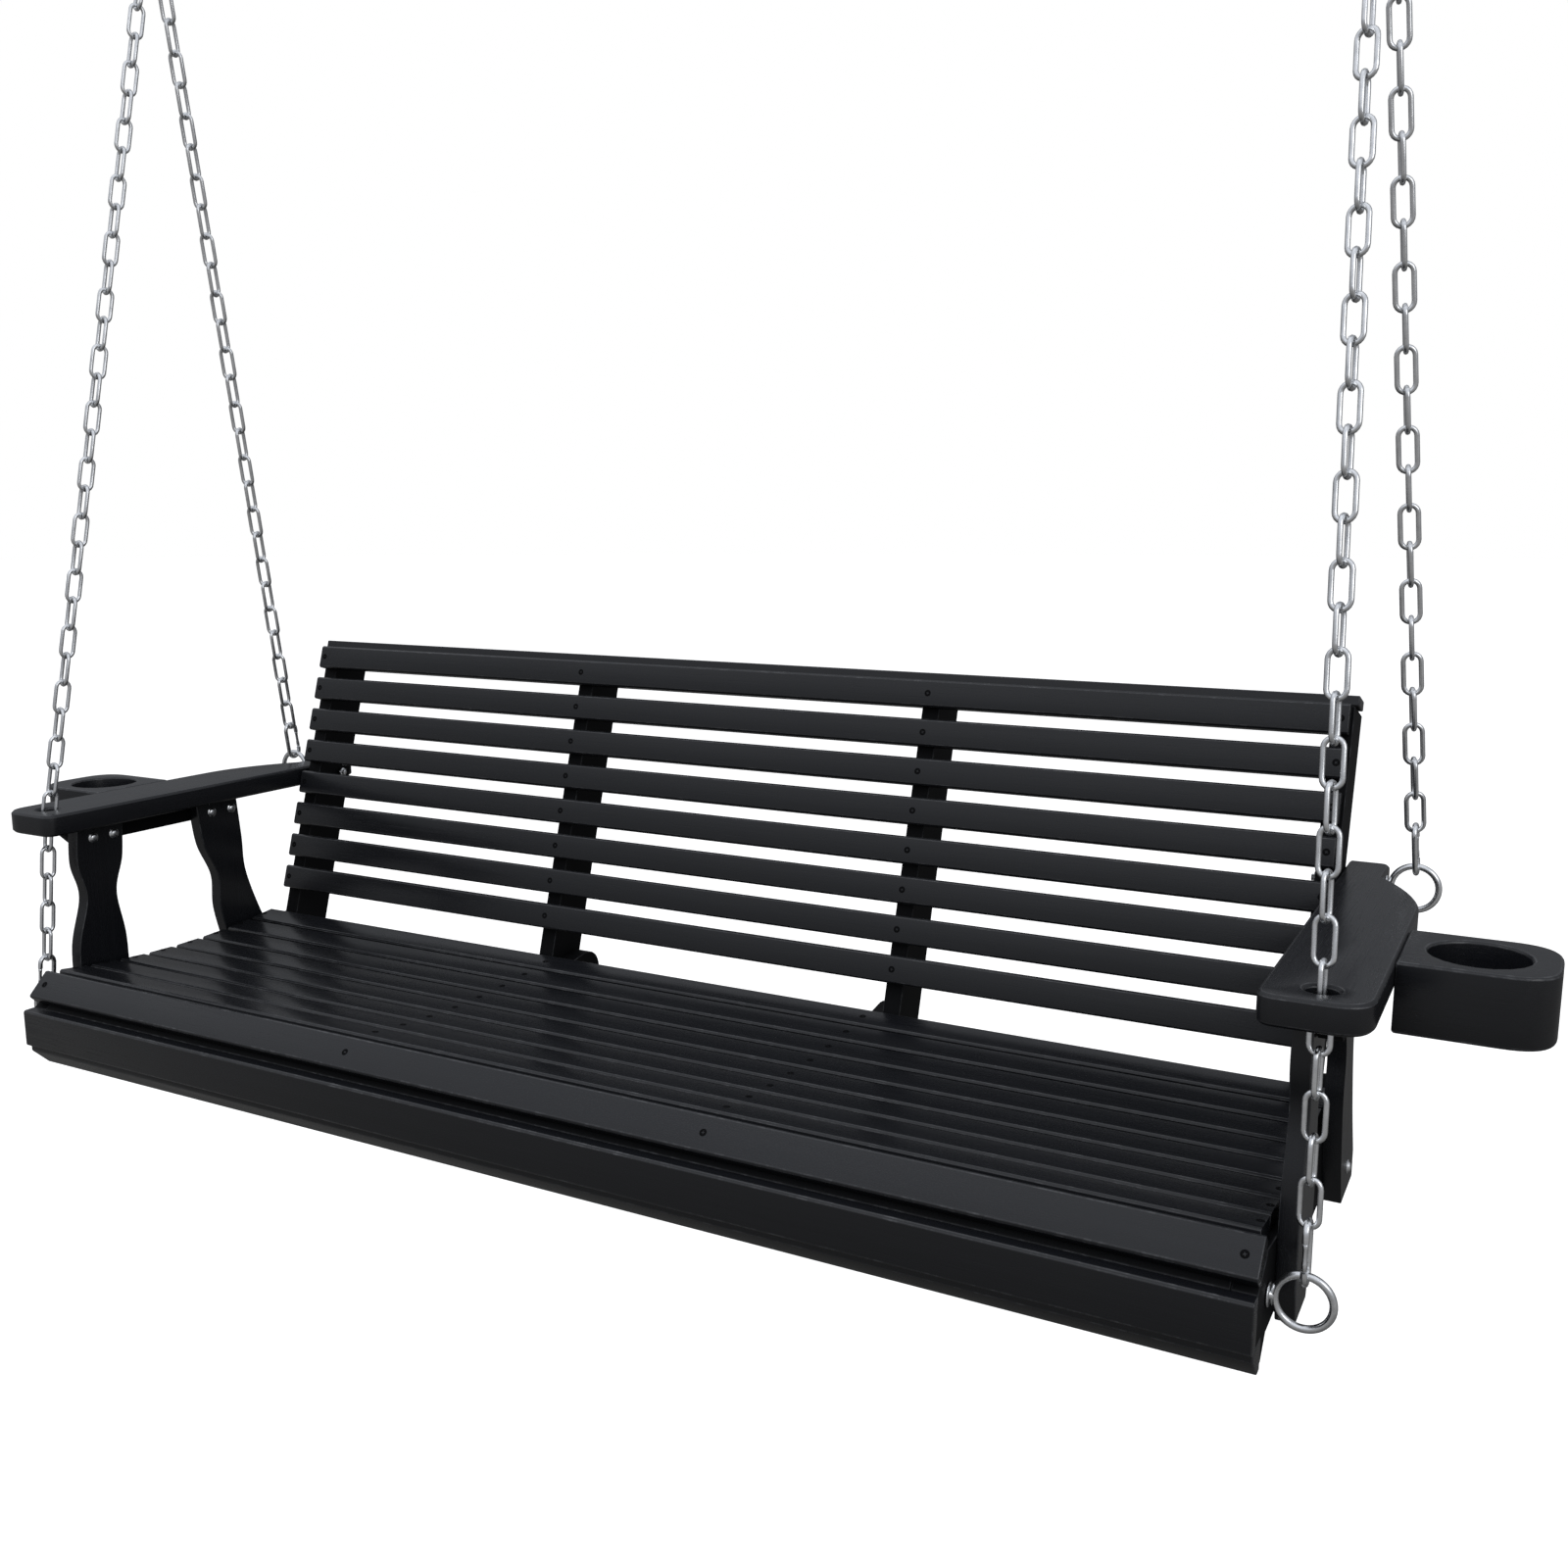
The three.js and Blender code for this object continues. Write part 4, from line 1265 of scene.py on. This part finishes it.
@dataclass
class Corner:
    """One corner of the rigging: an eye bolt, a snap hook with its gate, and a chain."""

    workshop: Workshop
    patterns: PatternBook
    row: str
    side: str
    ring_radius: float = 24.0 * MM
    wire_radius: float = 3.5 * MM
    shank_radius: float = 4.0 * MM
    shank_sides: int = 18
    plain_share: float = 0.35
    thread_pitch: float = 1.25 * MM
    thread_depth: float = 0.55 * MM
    thread_beyond_nut: float = 3.0 * MM
    washer: Disc = Disc(11.0 * MM, 2.0 * MM, inset=0.96, lift=0.25, sides=32, smooth_limit=0.4)
    nut: Disc = Disc(7.4 * MM, 6.0 * MM, inset=0.86, lift=0.14, sides=6, smooth_limit=0.3)
    gap: float = 0.3 * MM
    snap_length: float = 54.0 * MM
    snap_width: float = 20.0 * MM
    snap_wire: float = 3.0 * MM
    bow_steps: int = 14
    gate_wire: float = 2.4 * MM
    gate_top: float = 11.0 * MM
    gate_foot: float = -13.0 * MM
    gate_sides: int = 16
    gate_slim: float = 0.86
    gate_tip: float = 0.8
    gate_bevel: float = 0.25
    gate_shoulders: tuple[float, ...] = (0.3, 0.36, 0.8, 0.86)
    hinge_gap: float = 1.3 * MM
    link_pitch: float = 37.5 * MM
    link_width: float = 22.0 * MM
    link_wire: float = 5.0 * MM
    top_ring_radius: float = 26.5 * MM
    top_ring_wire: float = 3.5 * MM
    hole_from_front: float = 36.0 * MM
    hole_beside_post: float = 7.0 * MM
    link_play: float = math.radians(5.0)

    def __post_init__(self) -> None:
        """Finds the corner's places from the frame."""
        self.name = f"{self.row}_{self.side}"
        self.out = 1.0 if self.side == "right" else -1.0
        low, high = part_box(f"eye_bolt_{self.name}")
        self.inner_end, outer = (low.x, high.x) if self.out > 0 else (high.x, low.x)
        centre_x = outer - self.out * (self.ring_radius + self.wire_radius)
        self.eye = Vector((centre_x, (low.y + high.y) / 2, (low.z + high.z) / 2))
        self.top = sum(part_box(f"top_ring_{self.side}"), Vector()) / 2
        self.eye_top = self.eye + Vector((0.0, 0.0, self.ring_radius))
        self.stops = [self.top]
        if self.row == "front":
            self.stops.append(self._arm_hole())
        self.pull = (self.stops[-1] - self.eye_top).normalized()

    def _arm_hole(self) -> Vector:
        """Middle of the hole in the arm that the front chain passes through.

        Returns:
            The point.
        """
        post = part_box(f"arm_post_front_{self.side}")
        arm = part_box(f"armrest_{self.side}")
        outer = post[1].x if self.out > 0 else post[0].x
        x = outer + self.out * self.hole_beside_post
        return Vector((x, arm[0].y + self.hole_from_front, (arm[0].z + arm[1].z) / 2))

    def _along_x(self, mesh: bmesh.types.BMesh, x: float) -> bpy.types.Mesh:
        """Lays a shape made about Z along the shank's line, pointing inwards.

        Args:
            mesh: the shape.
            x: where its foot comes.

        Returns:
            The shape in its place.
        """
        turn = Matrix.Rotation(-self.out * QUARTER, 4, "Y")
        mesh.transform(Matrix.Translation((x, self.eye.y, self.eye.z)) @ turn)
        return Bench.to_mesh(mesh)

    def _threaded_shank(self, length: float) -> bmesh.types.BMesh:
        """The shank, plain near the ring and threaded to its end.

        Args:
            length: from the middle of the ring's wire to the end.

        Returns:
            A closed mesh.
        """
        crest, root = self.shank_radius, self.shank_radius - self.thread_depth
        reach = self.plain_share * length
        profile = [(0.0, 0.0), (crest, 0.0), (crest, reach)]
        while reach + self.thread_pitch < length:
            profile.append((root, reach + self.thread_pitch * HALF))
            reach += self.thread_pitch
            profile.append((crest, reach))
        return Bench.turned([*profile, (root, length), (0.0, length)], self.shank_sides)

    def _eye_bolt(self) -> None:
        """Ring, shank, washer and nut in one piece."""
        across = (1.0, 0.0, 0.0)
        ring = self.patterns.ring(self.eye, across, self.ring_radius, self.wire_radius)
        shank_x = self.eye.x - self.out * self.ring_radius
        washer_x = shank_x - self.out * self.wire_radius
        nut_x = self.inner_end + self.out * (self.thread_beyond_nut + self.nut.thickness)
        shank = self._threaded_shank(abs(self.inner_end - shank_x))
        parts = ((shank, shank_x), (self.washer.shape(), washer_x), (self.nut.shape(), nut_x))
        mesh = Bench.joined([ring, *(self._along_x(part, x) for part, x in parts)])
        node = f"eye_bolt_{self.name}"
        Bench.hand_over(mesh, f"{node}_forged", "swing", self.workshop.zinc, [node])

    def _snap_place(self) -> Matrix:
        """The snap hook's place: its long axis along the pull, its gate to the swing's outside.

        Returns:
            The matrix that puts it there.
        """
        seat_on_eye = self.wire_radius + self.snap_wire + self.gap
        place = self.eye_top + self.pull * (self.snap_length / 2 - seat_on_eye)
        turn = Vector((0.0, 0.0, 1.0)).rotation_difference(self.pull)
        half_turn = Quaternion((0.0, 0.0, 1.0), math.pi if self.row == "front" else 0.0)
        return Matrix.Translation(place) @ (turn @ half_turn).to_matrix().to_4x4()

    def _snap_hook(self) -> None:
        """The hook's bent body and its gate."""
        r = self.snap_width / 2
        straight = self.snap_length / 2 - r
        bow = arc(r, math.pi, self.bow_steps)
        points = [(r, self.gate_top), *((y, straight + z) for y, z in bow)]
        points += [(-y, -straight - z) for y, z in bow]
        points.append((r, self.gate_foot - self.hinge_gap))
        place = self._snap_place()
        spots = [place @ Vector((0.0, y, z)) for y, z in points]
        body = self.patterns.bend(spots, self.snap_wire)
        node = f"snap_hook_{self.name}"
        Bench.hand_over(body, f"{node}_body", "swing", self.workshop.zinc, [node])
        length = self.gate_top - self.gap - self.gate_foot
        g, slim = self.gate_wire, self.gate_wire * self.gate_slim
        tip, bevel = g * self.gate_tip, g * self.gate_bevel
        bar = zip((g, slim, slim, g), (length * share for share in self.gate_shoulders))
        lower, upper = [(0.0, 0.0), (tip, 0.0), (g, bevel)], [(g, length - bevel), (tip, length)]
        gate = Bench.turned([*lower, *bar, *upper, (0.0, length)], self.gate_sides)
        gate.transform(place @ Matrix.Translation((0.0, r, self.gate_foot)))
        node = f"snap_gate_{self.name}"
        Bench.hand_over(Bench.to_mesh(gate), f"{node}_bar", node, self.workshop.zinc, [node])

    def _chain(self, seed: int) -> None:
        """Welded links from the top ring, through the arm in front, to the snap hook.

        Args:
            seed: for the play of each link.
        """
        inner = self.link_pitch / 2
        first = ([*self.stops[1:], self.eye_top][0] - self.top).normalized()
        start = self.top + first * (self.top_ring_radius + inner - self.top_ring_wire)
        bow = self._snap_place() @ Vector((0.0, 0.0, self.snap_length / 2))
        line = [start, *self.stops[1:], bow + self.pull * (inner - self.snap_wire)]
        length = sum((b - a).length for a, b in zip(line, line[1:]))
        steps = 2 * round(length / self.link_pitch / 2)
        pitch = length / steps
        sizes = {
            "Links": steps + 1,
            "Link length": pitch + 2 * self.link_wire,
            "Link width": self.link_width,
            "Wire": self.link_wire,
            "First turn": QUARTER,
            "Play": self.link_play,
            "Seed": seed,
            "Finish": self.workshop.zinc[0],
        }
        mesh = self.patterns.links.grow(Bench.polyline(line), sizes)
        node = f"chain_{self.name}"
        Bench.hand_over(mesh, f"{node}_links", "swing", self.workshop.zinc, [node])
        log.info("%s: %d links, %.1f mm apart", node, steps + 1, pitch / MM)

    def build(self, seed: int) -> None:
        """Makes the corner's four pieces.

        Args:
            seed: for the play of the chain's links.
        """
        self._eye_bolt()
        self._snap_hook()
        self._chain(seed)


@dataclass
class Hanger:
    """A ceiling hanger on one side, with the ring that swings on it."""

    workshop: Workshop
    patterns: PatternBook
    side: str
    ring_radius: float = 26.5 * MM
    ring_wire: float = 3.5 * MM
    bar_radius: float = 4.0 * MM
    bar_sides: int = 16
    leg_spacing: float = 30.0 * MM
    leg_in_plate: float = 1.0 * MM
    bend: float = 9.0 * MM
    bend_steps: int = 8
    plate_thickness: float = 6.0 * MM
    plate_ease: float = 1.2 * MM
    screw_spacing: float = 72.0 * MM
    screw_radius: float = 5.2 * MM
    seed: int = 4

    def _ring(self) -> None:
        """The welded top ring."""
        node = f"top_ring_{self.side}"
        centre = sum(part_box(node), Vector()) / 2
        across = (0.0, 1.0, 0.0)
        mesh = self.patterns.ring(centre, across, self.ring_radius, self.ring_wire)
        Bench.hand_over(mesh, f"{node}_welded", "swing", self.workshop.zinc, [node])

    def _plate(self) -> None:
        """The plate, with its staple, and the screws that hold it to the ceiling."""
        node = f"ceiling_hanger_{self.side}"
        low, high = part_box(node)
        middle = (low + high) / 2
        plate_low = high.z - self.plate_thickness
        foot = low.z + self.bar_radius + self.bend
        flat = self.leg_spacing / 2 - self.bend
        leg = [(self.leg_spacing / 2, plate_low + self.leg_in_plate)]
        leg += [(flat + x, foot - z) for x, z in arc(self.bend, QUARTER, self.bend_steps)]
        points = [(-x, z) for x, z in leg] + leg[::-1]
        spots = [(middle.x + x, middle.y, z) for x, z in points]
        staple = self.patterns.bend(spots, self.bar_radius, sides=self.bar_sides)
        plate = bmesh.new()
        bmesh.ops.create_cube(plate, size=1.0)
        size = Vector((high.x - low.x, high.y - low.y, self.plate_thickness))
        place = Matrix.Translation((middle.x, middle.y, high.z - self.plate_thickness / 2))
        plate.transform(place @ Matrix.Diagonal((*size, 1.0)))
        mesh = Bench.joined([staple, Bench.ease(plate, self.plate_ease)])
        Bench.hand_over(mesh, f"{node}_plate", "ceiling", self.workshop.zinc, [node])
        apart, down = self.screw_spacing / 2, Vector((0.0, 0.0, -1.0))
        spots = [(Vector((middle.x + x, middle.y, plate_low)), down) for x in (-apart, apart)]
        screws = self.patterns.fix(CrossScrew(self.screw_radius).shape(), spots, self.seed)
        Bench.hand_over(screws, f"{node}_screws", "ceiling", self.workshop.zinc)

    def build(self) -> None:
        """Makes the ring and the hanger."""
        self._ring()
        self._plate()


# ------------------------------------------------------------------ studio


class Softbox(Enum):
    """The soft lights: place, side, power in watts, and whether shiny pieces show it."""

    KEY = ((-1.0, -1.6, 2.6), 2.4, 80.0, False)
    FILL = ((3.2, -1.6, 0.4), 1.8, 16.0, True)
    RIM = ((-0.8, 3.4, 0.8), 2.6, 60.0, False)


@dataclass
class Studio:
    """A pale floor, soft lights, white surroundings and the camera."""

    floor_drop: float = 0.46
    floor_radius: float = 40.0
    floor_sides: int = 64
    floor_grey: Colour = (0.30, 0.30, 0.30)
    floor_roughness: float = 0.9
    floor_glow: float = 0.92
    white: tuple[float, ...] = (1.0, 1.0, 1.0, 1.0)
    camera_place: Point = (0.97007, -1.47233, -0.82100)
    camera_pitch: float = math.radians(-10.281)
    camera_heading: float = math.radians(28.189)
    lens: float = 34.434
    sensor: float = 36.0
    aim: Point = (0.0, 0.0, -1.35)
    behind_range: Span = (0.0, 0.75)
    behind_shade: float = 0.58
    beside_range: Span = (0.5, 0.95)
    beside_shade: float = 0.25
    room: tuple[tuple[float, Colour], ...] = (
        (0.0, (0.10, 0.10, 0.10)),
        (0.34, (0.28, 0.28, 0.28)),
        (0.48, (0.33, 0.33, 0.34)),
        (0.64, (0.44, 0.46, 0.49)),
        (0.74, (0.78, 0.80, 0.85)),
        (0.90, (0.74, 0.77, 0.83)),
        (1.0, (0.95, 0.98, 1.04)),
    )

    def _camera(self) -> None:
        """A camera in front and to the right of the bench, looking slightly down."""
        data = bpy.data.cameras.new("camera")
        data.lens = self.lens
        data.sensor_width = self.sensor
        camera = Bench.place("camera", data)
        camera.location = self.camera_place
        camera.rotation_euler = (QUARTER + self.camera_pitch, 0.0, self.camera_heading)
        bpy.context.scene.camera = camera

    def _floor(self) -> None:
        """A round pale floor under the bench."""
        mesh = bmesh.new()
        bmesh.ops.create_circle(
            mesh, cap_ends=True, radius=self.floor_radius, segments=self.floor_sides
        )
        floor = Bench.place("floor", Bench.to_mesh(mesh))
        floor.location.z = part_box("arm_post_rear_left")[0].z - self.floor_drop
        floor.visible_diffuse = False
        floor.visible_glossy = False
        material = bpy.data.materials.new("pale_floor")
        ShaderTree(material).surface(
            {
                "Base Color": (*self.floor_grey, 1.0),
                "Roughness": self.floor_roughness,
                "Emission Color": self.white,
                "Emission Strength": self.floor_glow,
            }
        )
        floor.data.materials.append(material)

    def _surroundings(self) -> None:
        """White to look at, with a soft grey room for the paint and the chains to reflect."""
        world = bpy.data.worlds.new("studio")
        bpy.context.scene.world = world
        tree = ShaderTree(world)
        way = tree.place("Generated")
        beside, behind, height = (tree.part(way, axis) for axis in range(3))
        dark_behind = behind.step(*self.behind_range) * self.behind_shade
        dark_beside = (beside * -1.0).step(*self.beside_range) * self.beside_shade
        level = {0: height * HALF + HALF}
        room = tree.node("ShaderNodeValToRGB", level, stops=self.room)
        shade = (1.0 - dark_behind) * (1.0 - dark_beside)
        lit = tree.node("ShaderNodeBackground", {"Color": room, "Strength": shade})
        white = tree.node("ShaderNodeBackground", {"Color": self.white, "Strength": 1.0})
        seen = tree.node("ShaderNodeLightPath", {}, "Is Camera Ray")
        both = tree.node("ShaderNodeMixShader", {0: seen, 1: lit, 2: white})
        tree.node("ShaderNodeOutputWorld", {"Surface": both})

    def _lights(self) -> None:
        """Square soft lights, all aimed at the bench."""
        for softbox in Softbox:
            place, side, power, mirrored = softbox.value
            name = softbox.name.lower()
            data = bpy.data.lights.new(name, "AREA")
            data.size = side
            data.energy = power
            light = Bench.place(name, data)
            light.location = place
            light.visible_glossy = mirrored
            facing = (Vector(self.aim) - Vector(place)).to_track_quat("-Z", "Y")
            light.rotation_euler = facing.to_euler()

    def build(self) -> None:
        """Sets up the whole studio."""
        self._camera()
        self._floor()
        self._surroundings()
        self._lights()
        bpy.context.scene.view_settings.view_transform = "Standard"


# ------------------------------------------------------------------ assembly


def main() -> None:
    """Builds the swing and its studio, and notes the boxes of the frame and the dressed model."""
    logging.basicConfig(level=logging.INFO, format="%(name)s: %(message)s")
    workshop = Workshop()
    patterns = PatternBook()
    slats = SlatRows(workshop, patterns)
    slats.build()
    Carpentry(workshop).build()
    Fixings(workshop, patterns, slats).build()
    for seed, (row, side) in enumerate((r, s) for r in ("front", "rear") for s in SIDES):
        Corner(workshop, patterns, row, side).build(seed)
    for side in SIDES:
        Hanger(workshop, patterns, side).build()
    Studio().build()


if __name__ == "__main__":
    main()
